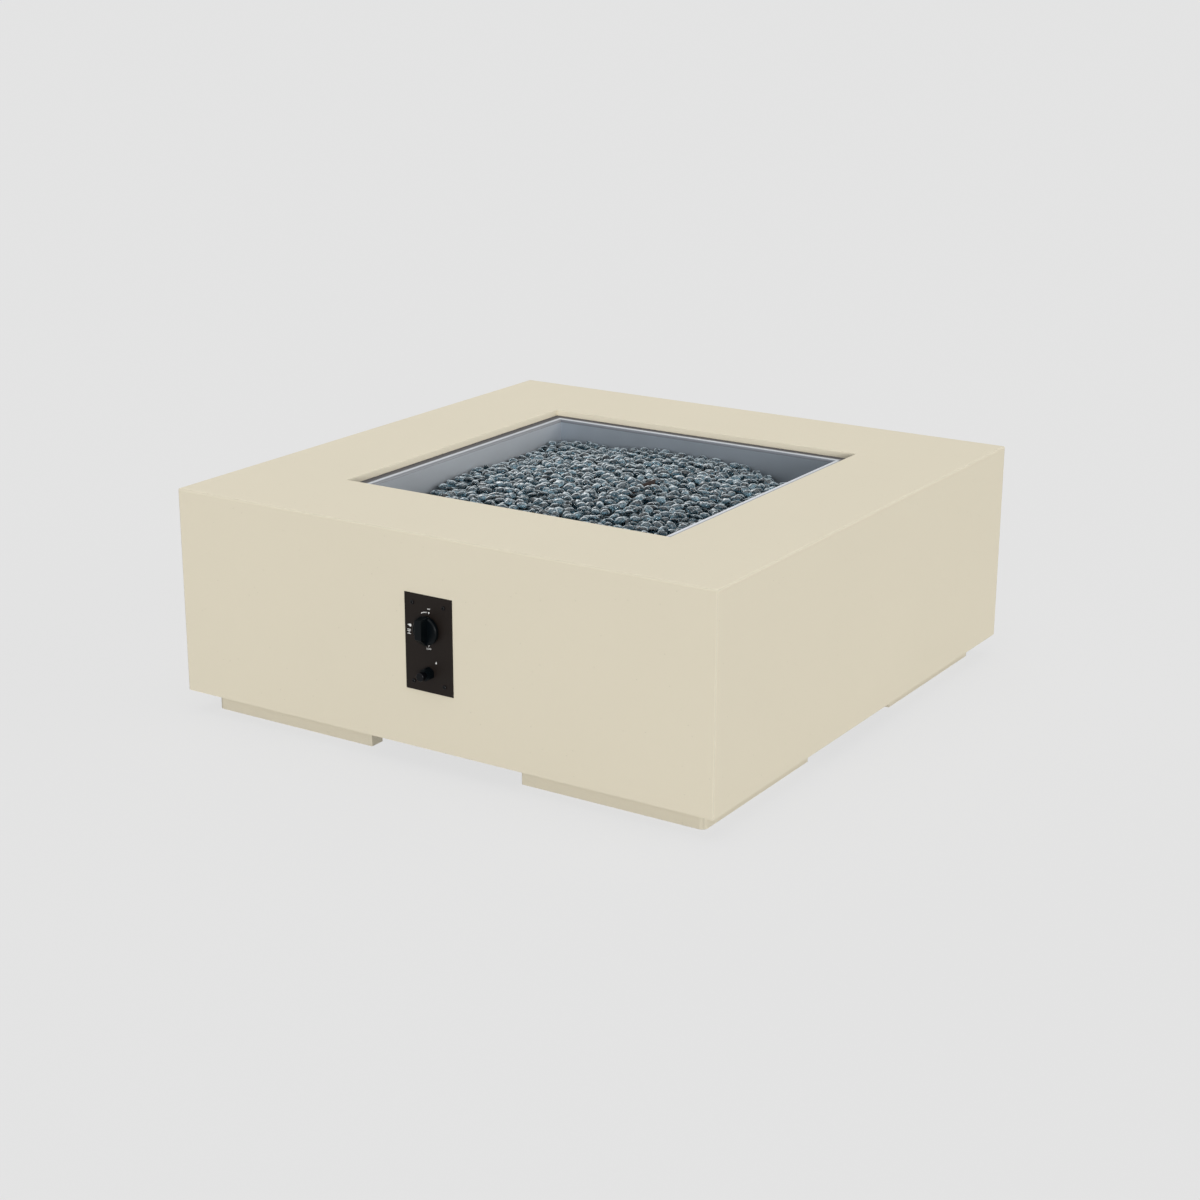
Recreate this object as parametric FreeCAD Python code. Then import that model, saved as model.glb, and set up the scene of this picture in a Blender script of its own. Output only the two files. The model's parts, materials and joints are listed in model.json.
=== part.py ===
import FreeCAD, Part
import math
import os

from FreeCAD import Vector

# Square gas fire pit table, in millimetres. +Z is up and the control panel faces -Y.
# Every function builds its piece round the middle of the table at floor level. The last
# lines move all pieces by the same step, so that the whole object is centred on its origin.

# Table body, one casting
TABLE_SIDE = 1066.8
TABLE_HEIGHT = 405.0
WALL = 18.0
TOP_THICKNESS = 26.0
LIP_WIDTH = 85.0
LIP_THICKNESS = 22.0
BODY_EDGE_RADIUS = 3.0
RIM_EDGE_RADIUS = 1.5

# Feet and their bolts
FOOT_HEIGHT = 38.5
FOOT_INSET = 36.4
FOOT_LEG = 343.0
FOOT_BAR = 30.0
FOOT_CORNER_RADIUS = 10.0
FOOT_EDGE_RADIUS = 1.5
FOOT_END_MARGIN = 40.0
BOLT_RADIUS = 4.0
BOLT_HEAD_ACROSS_FLATS = 13.0
BOLT_HEAD_HEIGHT = 5.3
BOLT_HOLE_CLEARANCE = 0.5
BOLT_TIP_GAP = 2.0
WASHER_RADIUS = 10.0
WASHER_THICKNESS = 1.6
INSERT_RADIUS = 6.0
INSERT_LENGTH = 22.0

# Fire opening, gasket and burner pan
OPENING_SIDE = 656.0
FLANGE_DROP = 10.0
PAN_SIDE = 597.0
PAN_DEPTH = 76.0
PAN_SHEET = 1.5
PAN_BEND_RADIUS = 6.0
PAN_FLOOR_RADIUS = 3.0
PAN_OPENING_CLEARANCE = 1.0
FLANGE_EDGE_GAP = 6.0
GASKET_THICKNESS = 1.5
GASKET_EDGE_GAP = 0.3
DRAIN_RADIUS = 5.0
DRAIN_INSET = 45.0

# Burner: a tube ring with one cross tube and a hub
RING_RADIUS = 190.0
TUBE_RADIUS = 9.5
TUBE_WALL = 1.2
TUBE_LIFT = 20.0
HUB_RADIUS = 17.0
HUB_HEIGHT = 24.0
NIPPLE_RADIUS = 10.5
NIPPLE_BORE = 8.0
NIPPLE_LENGTH = 44.0
PORT_RADIUS = 1.25
RING_PORTS = 40
CROSS_PORTS = 8
STAND_WIDTH = 24.0
STAND_LENGTH = 18.0
STAND_SHEET = 1.5
STAND_COUNT = 6
LOCKNUT_ACROSS_FLATS = 32.0
LOCKNUT_HEIGHT = 6.0

# Air mixer and the fittings of the burner feed
MIXER_RADIUS = 15.0
MIXER_LENGTH = 62.0
MIXER_CHAMBER_RADIUS = 11.0
MIXER_FLOOR = 9.0
MIXER_SHOULDER = 2.0
MIXER_NIPPLE_STEP = 19.0
AIR_SLOT_WIDTH = 9.0
AIR_SLOT_HEIGHT = 16.0
ORIFICE_RADIUS = 6.0
ORIFICE_NOSE = 8.0
ORIFICE_BORE = 1.2
ORIFICE_HEX = 19.0
ORIFICE_HEX_HEIGHT = 7.0
FLARE_RADIUS = 7.94
FLARE_LENGTH = 14.0
FLARE_BORE = 4.5
HOSE_RADIUS = 6.5
HOSE_NUT_HEX = 22.0
HOSE_NUT_SKIRT = 10.0
HOSE_NUT_GRIP = 12.0

# Pilot hood with electrode and thermocouple
HOOD_LOW_X = 28.0
HOOD_HIGH_X = 66.0
HOOD_FRONT_Y = -26.0
HOOD_BACK_Y = 57.0
HOOD_LOW_SIDE = 40.0
HOOD_HIGH_SIDE = 58.5
HOOD_SHEET = 1.2
HOOD_SLOT_WIDTH = 14.0
HOOD_SLOT_HEIGHT = 20.0
HOOD_SLOT_SILL = 10.0
HOOD_SLOTS = 3
HOOD_TAB = 12.0
BRACKET_SHEET = 1.5
BRACKET_SPAN_X = 18.0
BRACKET_MARGIN_Y = 12.0
SMALL_SCREW_RADIUS = 2.0
SMALL_HEAD_RADIUS = 3.5
SMALL_HEAD_HEIGHT = 2.2
SMALL_SCREW_TAIL = 6.0
RECESS_WIDTH = 1.0
RECESS_DEPTH = 1.1
RECESS_LENGTH = 3.8
ELECTRODE_OFFSET_Y = -18.0
THERMOCOUPLE_OFFSET_Y = 16.0
CERAMIC_RADIUS = 3.5
CERAMIC_COLLAR = 5.5
CERAMIC_COLLAR_HEIGHT = 4.0
CERAMIC_ABOVE_FLOOR = 20.0
CERAMIC_BELOW_FLOOR = 16.0
SPARK_ROD_RADIUS = 1.1
SPARK_ROD_RISE = 8.0
SPARK_ROD_REACH = 12.0
SENSOR_RADIUS = 2.5
SENSOR_ABOVE_FLOOR = 30.0
SENSOR_BELOW_FLOOR = 18.0
SENSOR_NUT_HEX = 10.0
SENSOR_NUT_HEIGHT = 4.0

# Loose fire glass, one closed heap. Each rise or hollow in it has its place as shares of the pan's
# half side, its height and its reach
GLASS_PEAK_DROP = 19.0
GLASS_DOME_RADIUS = 2612.0
GLASS_GAP = 0.3
GLASS_SHEET_POINTS = 15
GLASS_MOUNDS = (
    (-1.0, 1.0, 13.0, 95.0),
    (0.1, 1.0, 6.5, 120.0),
    (-0.4, 1.0, 4.0, 70.0),
    (-1.0, -0.57, -17.0, 62.0),
    (-1.0, 0.385, -6.0, 60.0),
    (0.745, 1.0, -17.0, 48.0),
    (1.0, -0.2, -5.0, 90.0),
    (0.3, -1.0, -6.0, 110.0),
)

# Control panel on the front face
PANEL_WIDTH = 94.5
PANEL_HEIGHT = 165.0
PANEL_SHEET = 2.0
PANEL_EDGE_RADIUS = 0.6
PANEL_HOLE_SPAN_X = 62.0
PANEL_HOLE_SPAN_Z = 134.5
BACK_PLATE_SHEET = 2.0
PANEL_NUT_HEX = 7.0
PANEL_NUT_HEIGHT = 3.2
PANEL_SCREW_TAIL = 1.0
CUTOUT_WIDTH = 49.0
CUTOUT_MARGIN_TOP = 26.0
CUTOUT_MARGIN_BOTTOM = 16.0

# Control knob, its shaft and the push travel
KNOB_RISE = 25.25
KNOB_REACH = 29.0
KNOB_PUSH = 4.0
KNOB_BACK_GAP = 5.0
KNOB_SKIRT_RADIUS = 24.0
KNOB_SKIRT_DEPTH = 7.0
KNOB_SKIRT_CHAMFER = 2.0
KNOB_SHELL = 2.5
KNOB_HUB_RADIUS = 8.0
KNOB_GRIP_BASE = 49.0
KNOB_GRIP_BASE_WIDTH = 16.0
KNOB_GRIP_FOOT_WIDTH = 9.0
KNOB_GRIP_FRONT = 32.6
KNOB_GRIP_FRONT_RISE = 6.3
KNOB_GRIP_FRONT_WIDTH = 13.4
KNOB_GRIP_ROUND = 1.2
KNOB_BORE_DEPTH = 14.0
SHAFT_RADIUS = 3.0
SHAFT_FLAT = 1.9
SLIDE_GAP = 0.05

# Gas valve behind the panel
VALVE_WIDTH = 42.0
VALVE_EDGE_RADIUS = 3.0
BONNET_DEPTH = 6.0
SPRING_ROOM = 20.0
SPRING_ROOM_RADIUS = 9.5
PLUG_LENGTH = 24.0
PLUG_FRONT_RADIUS = 9.0
PLUG_BACK_RADIUS = 8.0
PLUG_SOCKET_DEPTH = 10.0
PLUG_WEB = 2.0
PLUG_GAS_RADIUS = 3.5
PLUG_PORT_RADIUS = 2.5
PLUG_LOW_PORT_RADIUS = 0.8
PLUG_PORT_DEPTH = 16.0
TONGUE_ENGAGED = 5.0
PIN_RADIUS = 1.5
SEAT_WEB = 3.0
SEAT_RADIUS = 5.0
REAR_ROOM = 13.0
REAR_ROOM_RADIUS = 9.0
CLIP_RADIUS = 7.0
CLIP_THICKNESS = 1.5
CLIP_GAP = 0.1
VALVE_SCREW_OFFSET = 15.0
VALVE_SCREW_GRIP = 8.0
SAFETY_DISC_RADIUS = 6.5
SAFETY_DISC_THICKNESS = 1.5
SAFETY_ROD_LENGTH = 15.5
SAFETY_ROD_ROOM = 6.0
MAGNET_HEX = 20.0
MAGNET_HEX_DEPTH = 8.0
MAGNET_BARREL_RADIUS = 6.5
MAGNET_BARREL_LENGTH = 16.0
LEAD_NUT_HEX = 10.0
LEAD_NUT_DEPTH = 8.0
FITTING_HEX = 18.0
FITTING_HEX_LENGTH = 6.0
FITTING_THREAD_RADIUS = 6.5
FITTING_THREAD_LENGTH = 8.0
GAS_WAY_RADIUS = 3.5
SPRING_END_GAP = 0.3

# Push-button spark igniter
IGNITER_DROP = 48.75
IGNITER_REACH = 26.0
IGNITER_PUSH = 6.0
IGNITER_BARREL_RADIUS = 9.0
IGNITER_BARREL_REACH = 12.5
IGNITER_NUT_HEX = 19.5
IGNITER_NUT_DEPTH = 11.0
IGNITER_SHOULDER_RADIUS = 12.0
IGNITER_SHOULDER_DEPTH = 3.0
IGNITER_CASE_RADIUS = 10.0
IGNITER_CASE_LENGTH = 44.0
IGNITER_TERMINAL_RADIUS = 2.6
IGNITER_TERMINAL_LENGTH = 6.0
IGNITER_BORE_DEPTH = 24.0
BUTTON_RADIUS = 7.5
BUTTON_SHAFT_RADIUS = 5.0
BUTTON_SHAFT_DEPTH = 8.0
BUTTON_EDGE_RADIUS = 1.2
BUTTON_STOP_GAP = 0.5

# Springs
STEM_SPRING_RADIUS = 5.4
STEM_SPRING_WIRE = 0.45
STEM_SPRING_TURNS = 5.0
SAFETY_SPRING_RADIUS = 4.2
SAFETY_SPRING_WIRE = 0.35
SAFETY_SPRING_TURNS = 5.0
IGNITER_SPRING_RADIUS = 3.8
IGNITER_SPRING_WIRE = 0.4
IGNITER_SPRING_TURNS = 6.0
COIL_CORNERS = 8

# Leads under the pan
LEAD_RADIUS = 2.0
SENSOR_LEAD_RADIUS = 1.5
CORD_ARC_SHARE = 0.45

# Small clearances between a part and the hole that it sits in
SEAT_GAP = 0.05
PASS_GAP = 0.5

# Places worked out from the sizes above
HALF = TABLE_SIDE / 2
FRONT_Y = -HALF
BODY_BOTTOM = FOOT_HEIGHT
LIP_TOP = FOOT_HEIGHT + LIP_THICKNESS
CAVITY_TOP = TABLE_HEIGHT - TOP_THICKNESS
FLANGE_TOP = TABLE_HEIGHT - FLANGE_DROP
FLANGE_UNDER = FLANGE_TOP - PAN_SHEET
LEDGE_TOP = FLANGE_UNDER - GASKET_THICKNESS
PAN_INNER = PAN_SIDE / 2
PAN_OUTER = PAN_INNER + PAN_SHEET
PAN_FLOOR_UNDER = FLANGE_TOP - PAN_DEPTH
PAN_FLOOR_TOP = PAN_FLOOR_UNDER + PAN_SHEET
OPENING_HALF = OPENING_SIDE / 2
FLANGE_HALF = OPENING_HALF - FLANGE_EDGE_GAP
PAN_HOLE_HALF = PAN_INNER + PAN_BEND_RADIUS + PAN_OPENING_CLEARANCE
TUBE_Z = PAN_FLOOR_TOP + TUBE_LIFT
HUB_TOP = TUBE_Z + HUB_HEIGHT / 2
HUB_UNDER = TUBE_Z - HUB_HEIGHT / 2
NIPPLE_END = PAN_FLOOR_UNDER - NIPPLE_LENGTH
MIXER_TOP = PAN_FLOOR_UNDER - MIXER_NIPPLE_STEP
MIXER_BOTTOM = MIXER_TOP - MIXER_LENGTH
ORIFICE_UNDER = MIXER_BOTTOM - ORIFICE_HEX_HEIGHT
FEED_END_Z = ORIFICE_UNDER - FLARE_LENGTH
HOOD_MID_X = (HOOD_LOW_X + HOOD_HIGH_X) / 2
HOOD_MID_Y = (HOOD_FRONT_Y + HOOD_BACK_Y) / 2
ELECTRODE_Y = HOOD_MID_Y + ELECTRODE_OFFSET_Y
THERMOCOUPLE_Y = HOOD_MID_Y + THERMOCOUPLE_OFFSET_Y
SPARK_LEAD_Z = PAN_FLOOR_UNDER - CERAMIC_BELOW_FLOOR
SENSOR_LEAD_Z = PAN_FLOOR_UNDER - SENSOR_BELOW_FLOOR
PANEL_Z = (BODY_BOTTOM + TABLE_HEIGHT) / 2
KNOB_Z = PANEL_Z + KNOB_RISE
IGNITER_Z = PANEL_Z - IGNITER_DROP
CUTOUT_TOP = KNOB_Z + CUTOUT_MARGIN_TOP
CUTOUT_BOTTOM = IGNITER_Z - CUTOUT_MARGIN_BOTTOM
PANEL_FRONT = -PANEL_SHEET
KNOB_RIM = PANEL_FRONT - KNOB_BACK_GAP
KNOB_SKIRT_FRONT = KNOB_RIM - KNOB_SKIRT_DEPTH
KNOB_FACE = PANEL_FRONT - KNOB_REACH
KNOB_HUB_BACK = KNOB_RIM - SMALL_HEAD_HEIGHT / 2
SHAFT_TIP = KNOB_HUB_BACK - KNOB_BORE_DEPTH + PASS_GAP
PLUG_FRONT = BONNET_DEPTH + SPRING_ROOM
PLUG_BACK = PLUG_FRONT + PLUG_LENGTH
TONGUE_END = PLUG_FRONT + TONGUE_ENGAGED
PLUG_WEB_START = PLUG_FRONT + PLUG_SOCKET_DEPTH
PLUG_WEB_END = PLUG_WEB_START + PLUG_WEB
PORT_DEPTH = PLUG_FRONT + PLUG_PORT_DEPTH
REAR_ROOM_START = PLUG_BACK + SEAT_WEB
VALVE_BACK = REAR_ROOM_START + REAR_ROOM
INLET_DEPTH = REAR_ROOM_START + REAR_ROOM / 2
DISC_FRONT = REAR_ROOM_START + SLIDE_GAP
DISC_BACK = DISC_FRONT + SAFETY_DISC_THICKNESS
DISC_ROD_END = DISC_BACK + SAFETY_ROD_LENGTH
PIN_END = DISC_FRONT - CLIP_GAP
CLIP_FRONT = BONNET_DEPTH + CLIP_GAP
CLIP_BACK = CLIP_FRONT + CLIP_THICKNESS
MAGNET_BACK = VALVE_BACK + MAGNET_HEX_DEPTH
MAGNET_END = MAGNET_BACK + MAGNET_BARREL_LENGTH
FITTING_FACE = VALVE_WIDTH / 2
FITTING_END = FITTING_FACE + FITTING_HEX_LENGTH + FLARE_LENGTH
IGNITER_FRONT = PANEL_FRONT - IGNITER_BARREL_REACH
BUTTON_BACK = IGNITER_FRONT - IGNITER_PUSH - BUTTON_STOP_GAP
BUTTON_FACE = PANEL_FRONT - IGNITER_REACH
IGNITER_CASE_END = IGNITER_SHOULDER_DEPTH + IGNITER_CASE_LENGTH
IGNITER_END = IGNITER_CASE_END + IGNITER_TERMINAL_LENGTH
CENTRE_SHIFT = (PANEL_SHEET + max(KNOB_REACH, IGNITER_REACH)) / 2

X_AXIS = Vector(1, 0, 0)
Y_AXIS = Vector(0, 1, 0)
Z_AXIS = Vector(0, 0, 1)


def block(x0, x1, y0, y1, z0, z1):
    """A box between two corners."""
    return Part.makeBox(x1 - x0, y1 - y0, z1 - z0, Vector(x0, y0, z0))


def square_block(half, z0, z1):
    """A box on a square centred on the middle of the table."""
    return block(-half, half, -half, half, z0, z1)


def square_ring(outer_half, inner_half, z0, z1):
    """A flat square frame."""
    return square_block(outer_half, z0, z1).cut(square_block(inner_half, z0, z1))


def rod_x(radius, x0, x1, y, z):
    """A cylinder along X."""
    return Part.makeCylinder(radius, x1 - x0, Vector(x0, y, z), X_AXIS)


def rod_z(radius, z0, z1, x=0.0, y=0.0):
    """A cylinder along Z."""
    return Part.makeCylinder(radius, z1 - z0, Vector(x, y, z0), Z_AXIS)


def rod_in(radius, depth0, depth1, x, z):
    """A cylinder that runs inwards from the front face, between two depths."""
    return Part.makeCylinder(radius, depth1 - depth0, Vector(x, FRONT_Y + depth0, z), Y_AXIS)


def cone_in(radius0, radius1, depth0, depth1, x, z):
    """A cone that runs inwards from the front face, between two depths."""
    start = Vector(x, FRONT_Y + depth0, z)
    return Part.makeCone(radius0, radius1, depth1 - depth0, start, Y_AXIS)


def hexagon(across_flats, length, start, axis):
    """A hexagonal prism from a start point along an axis."""
    corner = across_flats / math.sqrt(3)
    side = Z_AXIS if abs(axis.z) < 0.5 else X_AXIS
    other = axis.cross(side)
    points = []
    for step in range(7):
        angle = math.radians(60 * step)
        points.append(start + side * (corner * math.cos(angle)) + other * (corner * math.sin(angle)))
    return Part.Face(Part.makePolygon(points)).extrude(axis * length)


def fuse_all(shapes):
    """One solid from shapes that touch or overlap."""
    whole = shapes[0]
    for shape in shapes[1:]:
        whole = whole.fuse(shape)
    return whole.removeSplitter()


def cut_all(shape, tools):
    """The shape without all the tools."""
    for tool in tools:
        shape = shape.cut(tool)
    return shape


def edges_where(shape, test):
    """The edges whose middle point passes the test."""
    chosen = []
    for edge in shape.Edges:
        middle = edge.valueAt((edge.FirstParameter + edge.LastParameter) / 2)
        if test(edge, middle):
            chosen.append(edge)
    return chosen


def runs_along(edge, axis):
    """True for a straight edge that lies along the axis."""
    if len(edge.Vertexes) != 2:
        return False
    run = edge.Vertexes[1].Point - edge.Vertexes[0].Point
    return run.Length > 0 and abs(run.normalize().dot(axis)) > 0.999


def near(value, target):
    """True when two lengths agree."""
    return abs(value - target) < 0.01


def rounded_path(points):
    """Straight runs through the points, joined by tangent arcs, and the radii of the arcs."""
    edges = []
    start = points[0]
    radii = []
    for before, corner, after in zip(points, points[1:], points[2:]):
        arrive = corner - before
        leave = after - corner
        shorter = min(arrive.Length, leave.Length)
        half_turn = arrive.getAngle(leave) / 2
        reach = CORD_ARC_SHARE * shorter
        bend = reach / math.tan(half_turn)
        radii.append(round(bend))
        arrive.normalize()
        leave.normalize()
        arc_start = corner - arrive * reach
        arc_end = corner + leave * reach
        towards = (leave - arrive).normalize()
        centre = corner + towards * math.hypot(bend, reach)
        middle = centre - towards * bend
        edges.append(Part.LineSegment(start, arc_start).toShape())
        edges.append(Part.Arc(arc_start, middle, arc_end).toShape())
        start = arc_end
    edges.append(Part.LineSegment(start, points[-1]).toShape())
    return Part.Wire(edges), radii


def tube_along(path, radius, points):
    """A round bar along a path that starts on the first run of the points."""
    heading = (points[1] - points[0]).normalize()
    profile = Part.Wire([Part.makeCircle(radius, points[0], heading)])
    return path.makePipeShell([profile], True, False)


def cord(name, radius, points):
    """A round cord along straight runs that are joined by tangent arcs."""
    path, radii = rounded_path(points)
    tube = tube_along(path, radius, points)
    expected = math.pi * radius * radius * path.Length
    print(name, "length", round(path.Length), "bend radii", radii,
          "volume share", round(tube.Volume / expected, 4))
    return tube


def coil(radius, wire, turns, depth0, depth1, x, z):
    """A compression spring along the depth, between two seats."""
    low = FRONT_Y + depth0 + SPRING_END_GAP + wire
    height = depth1 - depth0 - 2 * (SPRING_END_GAP + wire)
    steps = round(turns * COIL_CORNERS)
    corner_radius = radius / math.cos(math.pi / COIL_CORNERS)
    points = []
    for step in range(steps + 1):
        angle = 2 * math.pi * step / COIL_CORNERS
        points.append(Vector(
            x + corner_radius * math.cos(angle),
            low + height * step / steps,
            z + corner_radius * math.sin(angle),
        ))
    path, _ = rounded_path(points)
    return tube_along(path, wire, points)


def four_corners(shape):
    """The shape and its mirror images across both middle planes."""
    right_back = shape
    left_back = shape.mirror(Vector(0, 0, 0), X_AXIS)
    right_front = shape.mirror(Vector(0, 0, 0), Y_AXIS)
    left_front = right_front.mirror(Vector(0, 0, 0), X_AXIS)
    return {
        "back_right": right_back,
        "back_left": left_back,
        "front_right": right_front,
        "front_left": left_front,
    }


def foot_bolt_points():
    """Bolt centres of the back right foot."""
    line = HALF - FOOT_INSET - FOOT_BAR / 2
    end = HALF - FOOT_INSET - FOOT_LEG + FOOT_END_MARGIN
    return [(line, line), (line, end), (end, line)]


def all_bolt_points():
    """Bolt centres of all four feet."""
    points = []
    for x, y in foot_bolt_points():
        for sign_x in (1, -1):
            for sign_y in (1, -1):
                points.append((sign_x * x, sign_y * y))
    return points


def panel_screw_points():
    """Centres of the four panel screws, as X and Z."""
    points = []
    for sign_x in (-1, 1):
        for sign_z in (-1, 1):
            points.append((sign_x * PANEL_HOLE_SPAN_X / 2, PANEL_Z + sign_z * PANEL_HOLE_SPAN_Z / 2))
    return points


def valve_screw_points():
    """Centres of the two valve screws, as X and Z."""
    return [(0.0, KNOB_Z - VALVE_SCREW_OFFSET), (0.0, KNOB_Z + VALVE_SCREW_OFFSET)]


def wall_cutout(depth0, depth1):
    """The window through the front wall that the valve and the igniter pass."""
    side = CUTOUT_WIDTH / 2
    return block(-side, side, FRONT_Y + depth0, FRONT_Y + depth1, CUTOUT_BOTTOM, CUTOUT_TOP)


def concrete_shell():
    """The cream body: top, four walls and an inward lip at the bottom, cast in one."""
    body = square_block(HALF, BODY_BOTTOM, TABLE_HEIGHT)
    outer = edges_where(
        body, lambda edge, middle: runs_along(edge, Z_AXIS) or near(middle.z, TABLE_HEIGHT)
    )
    body = body.makeFillet(BODY_EDGE_RADIUS, outer)
    body = body.cut(square_block(HALF - WALL, LIP_TOP, CAVITY_TOP))
    body = body.cut(square_block(HALF - LIP_WIDTH, BODY_BOTTOM, LIP_TOP))
    body = body.cut(square_block(PAN_HOLE_HALF, CAVITY_TOP, LEDGE_TOP))
    body = body.cut(square_block(OPENING_HALF, LEDGE_TOP, TABLE_HEIGHT))
    rim = edges_where(
        body,
        lambda edge, middle: near(middle.z, TABLE_HEIGHT)
        and near(max(abs(middle.x), abs(middle.y)), OPENING_HALF),
    )
    body = body.makeFillet(RIM_EDGE_RADIUS, rim)
    holes = [wall_cutout(0, WALL)]
    for x, z in panel_screw_points():
        holes.append(rod_in(SMALL_SCREW_RADIUS + PASS_GAP, 0, WALL, x, z))
    for x, y in all_bolt_points():
        holes.append(rod_z(BOLT_RADIUS + BOLT_HOLE_CLEARANCE, BODY_BOTTOM, LIP_TOP, x, y))
    return cut_all(body, holes)


def feet():
    """Four L-shaped corner feet, with sockets for the threaded inserts."""
    outer = HALF - FOOT_INSET
    inner = outer - FOOT_BAR
    end = outer - FOOT_LEG
    leg_x = block(end, outer, inner, outer, 0, FOOT_HEIGHT)
    leg_y = block(inner, outer, end, outer, 0, FOOT_HEIGHT)
    foot = fuse_all([leg_x, leg_y])
    corner = edges_where(
        foot,
        lambda edge, middle: runs_along(edge, Z_AXIS) and near(middle.x, outer) and near(middle.y, outer),
    )
    foot = foot.makeFillet(FOOT_CORNER_RADIUS, corner)
    ends = edges_where(
        foot,
        lambda edge, middle: runs_along(edge, Z_AXIS) and (near(middle.x, end) or near(middle.y, end)),
    )
    foot = foot.makeFillet(FOOT_EDGE_RADIUS, ends)
    for x, y in foot_bolt_points():
        socket = rod_z(INSERT_RADIUS + SEAT_GAP, FOOT_HEIGHT - INSERT_LENGTH, FOOT_HEIGHT, x, y)
        foot = foot.cut(socket)
    return four_corners(foot)


def foot_bolts():
    """Hexagon bolts that clamp the lip to the feet from inside the body."""
    seat = LIP_TOP + WASHER_THICKNESS
    tip = FOOT_HEIGHT - INSERT_LENGTH + BOLT_TIP_GAP
    bolts = []
    for x, y in all_bolt_points():
        shank = rod_z(BOLT_RADIUS, tip, seat, x, y)
        head = hexagon(BOLT_HEAD_ACROSS_FLATS, BOLT_HEAD_HEIGHT, Vector(x, y, seat), Z_AXIS)
        bolts.append(fuse_all([shank, head]))
    return Part.makeCompound(bolts)


def foot_washers():
    """Flat washers under the bolt heads."""
    washers = []
    for x, y in all_bolt_points():
        disc = rod_z(WASHER_RADIUS, LIP_TOP, LIP_TOP + WASHER_THICKNESS, x, y)
        hole = rod_z(BOLT_RADIUS + SEAT_GAP, LIP_TOP, LIP_TOP + WASHER_THICKNESS, x, y)
        washers.append(disc.cut(hole))
    return Part.makeCompound(washers)


def foot_inserts():
    """Threaded sleeves that are cast into the feet."""
    sleeves = []
    for x, y in all_bolt_points():
        sleeve = rod_z(INSERT_RADIUS, FOOT_HEIGHT - INSERT_LENGTH, FOOT_HEIGHT, x, y)
        bore = rod_z(BOLT_RADIUS + SEAT_GAP, FOOT_HEIGHT - INSERT_LENGTH, FOOT_HEIGHT, x, y)
        sleeves.append(sleeve.cut(bore))
    return Part.makeCompound(sleeves)


def pan_gasket():
    """Black heat-proof tape on the ledge. It shows round the edge of the flange."""
    return square_ring(OPENING_HALF - GASKET_EDGE_GAP, PAN_HOLE_HALF, LEDGE_TOP, FLANGE_UNDER)


def burner_pan():
    """Stainless pan with a turned-out flange, and the holes for burner, pilot and rain water."""
    outside = fuse_all([
        square_block(FLANGE_HALF, FLANGE_UNDER, FLANGE_TOP),
        square_block(PAN_OUTER, PAN_FLOOR_UNDER, FLANGE_UNDER),
    ])
    pan = outside.cut(square_block(PAN_INNER, PAN_FLOOR_TOP, FLANGE_TOP))
    top_bend = edges_where(
        pan,
        lambda edge, middle: near(middle.z, FLANGE_TOP)
        and near(max(abs(middle.x), abs(middle.y)), PAN_INNER),
    )
    pan = pan.makeFillet(PAN_BEND_RADIUS, top_bend)
    under_bend = edges_where(
        pan,
        lambda edge, middle: near(middle.z, FLANGE_UNDER)
        and near(max(abs(middle.x), abs(middle.y)), PAN_OUTER),
    )
    pan = pan.makeFillet(PAN_BEND_RADIUS - PAN_SHEET, under_bend)
    floor_bend = edges_where(
        pan,
        lambda edge, middle: near(middle.z, PAN_FLOOR_UNDER)
        and near(max(abs(middle.x), abs(middle.y)), PAN_OUTER),
    )
    pan = pan.makeFillet(PAN_FLOOR_RADIUS, floor_bend)
    inner_bend = edges_where(
        pan,
        lambda edge, middle: near(middle.z, PAN_FLOOR_TOP)
        and near(max(abs(middle.x), abs(middle.y)), PAN_INNER),
    )
    pan = pan.makeFillet(PAN_FLOOR_RADIUS - PAN_SHEET, inner_bend)
    holes = [
        rod_z(NIPPLE_RADIUS + PASS_GAP, PAN_FLOOR_UNDER, PAN_FLOOR_TOP),
        rod_z(CERAMIC_RADIUS + PASS_GAP, PAN_FLOOR_UNDER, PAN_FLOOR_TOP, HOOD_MID_X, ELECTRODE_Y),
        rod_z(SENSOR_RADIUS + PASS_GAP, PAN_FLOOR_UNDER, PAN_FLOOR_TOP, HOOD_MID_X, THERMOCOUPLE_Y),
    ]
    for x, y in hood_screw_points():
        holes.append(rod_z(SMALL_SCREW_RADIUS + SEAT_GAP, PAN_FLOOR_UNDER, PAN_FLOOR_TOP, x, y))
    drain = PAN_INNER - DRAIN_INSET
    for x in (-drain, drain):
        for y in (-drain, drain):
            holes.append(rod_z(DRAIN_RADIUS, PAN_FLOOR_UNDER, PAN_FLOOR_TOP, x, y))
    return cut_all(pan, holes)


def burner_outline(extra):
    """The outside of the burner above the pan floor, grown by a gap."""
    ring = Part.makeTorus(RING_RADIUS, TUBE_RADIUS + extra, Vector(0, 0, TUBE_Z), Z_AXIS)
    cross = Part.makeCylinder(
        TUBE_RADIUS + extra, 2 * RING_RADIUS, Vector(0, -RING_RADIUS, TUBE_Z), Y_AXIS
    )
    hub = rod_z(HUB_RADIUS + extra, HUB_UNDER - extra, HUB_TOP + extra)
    return fuse_all([ring, cross, hub])


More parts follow.
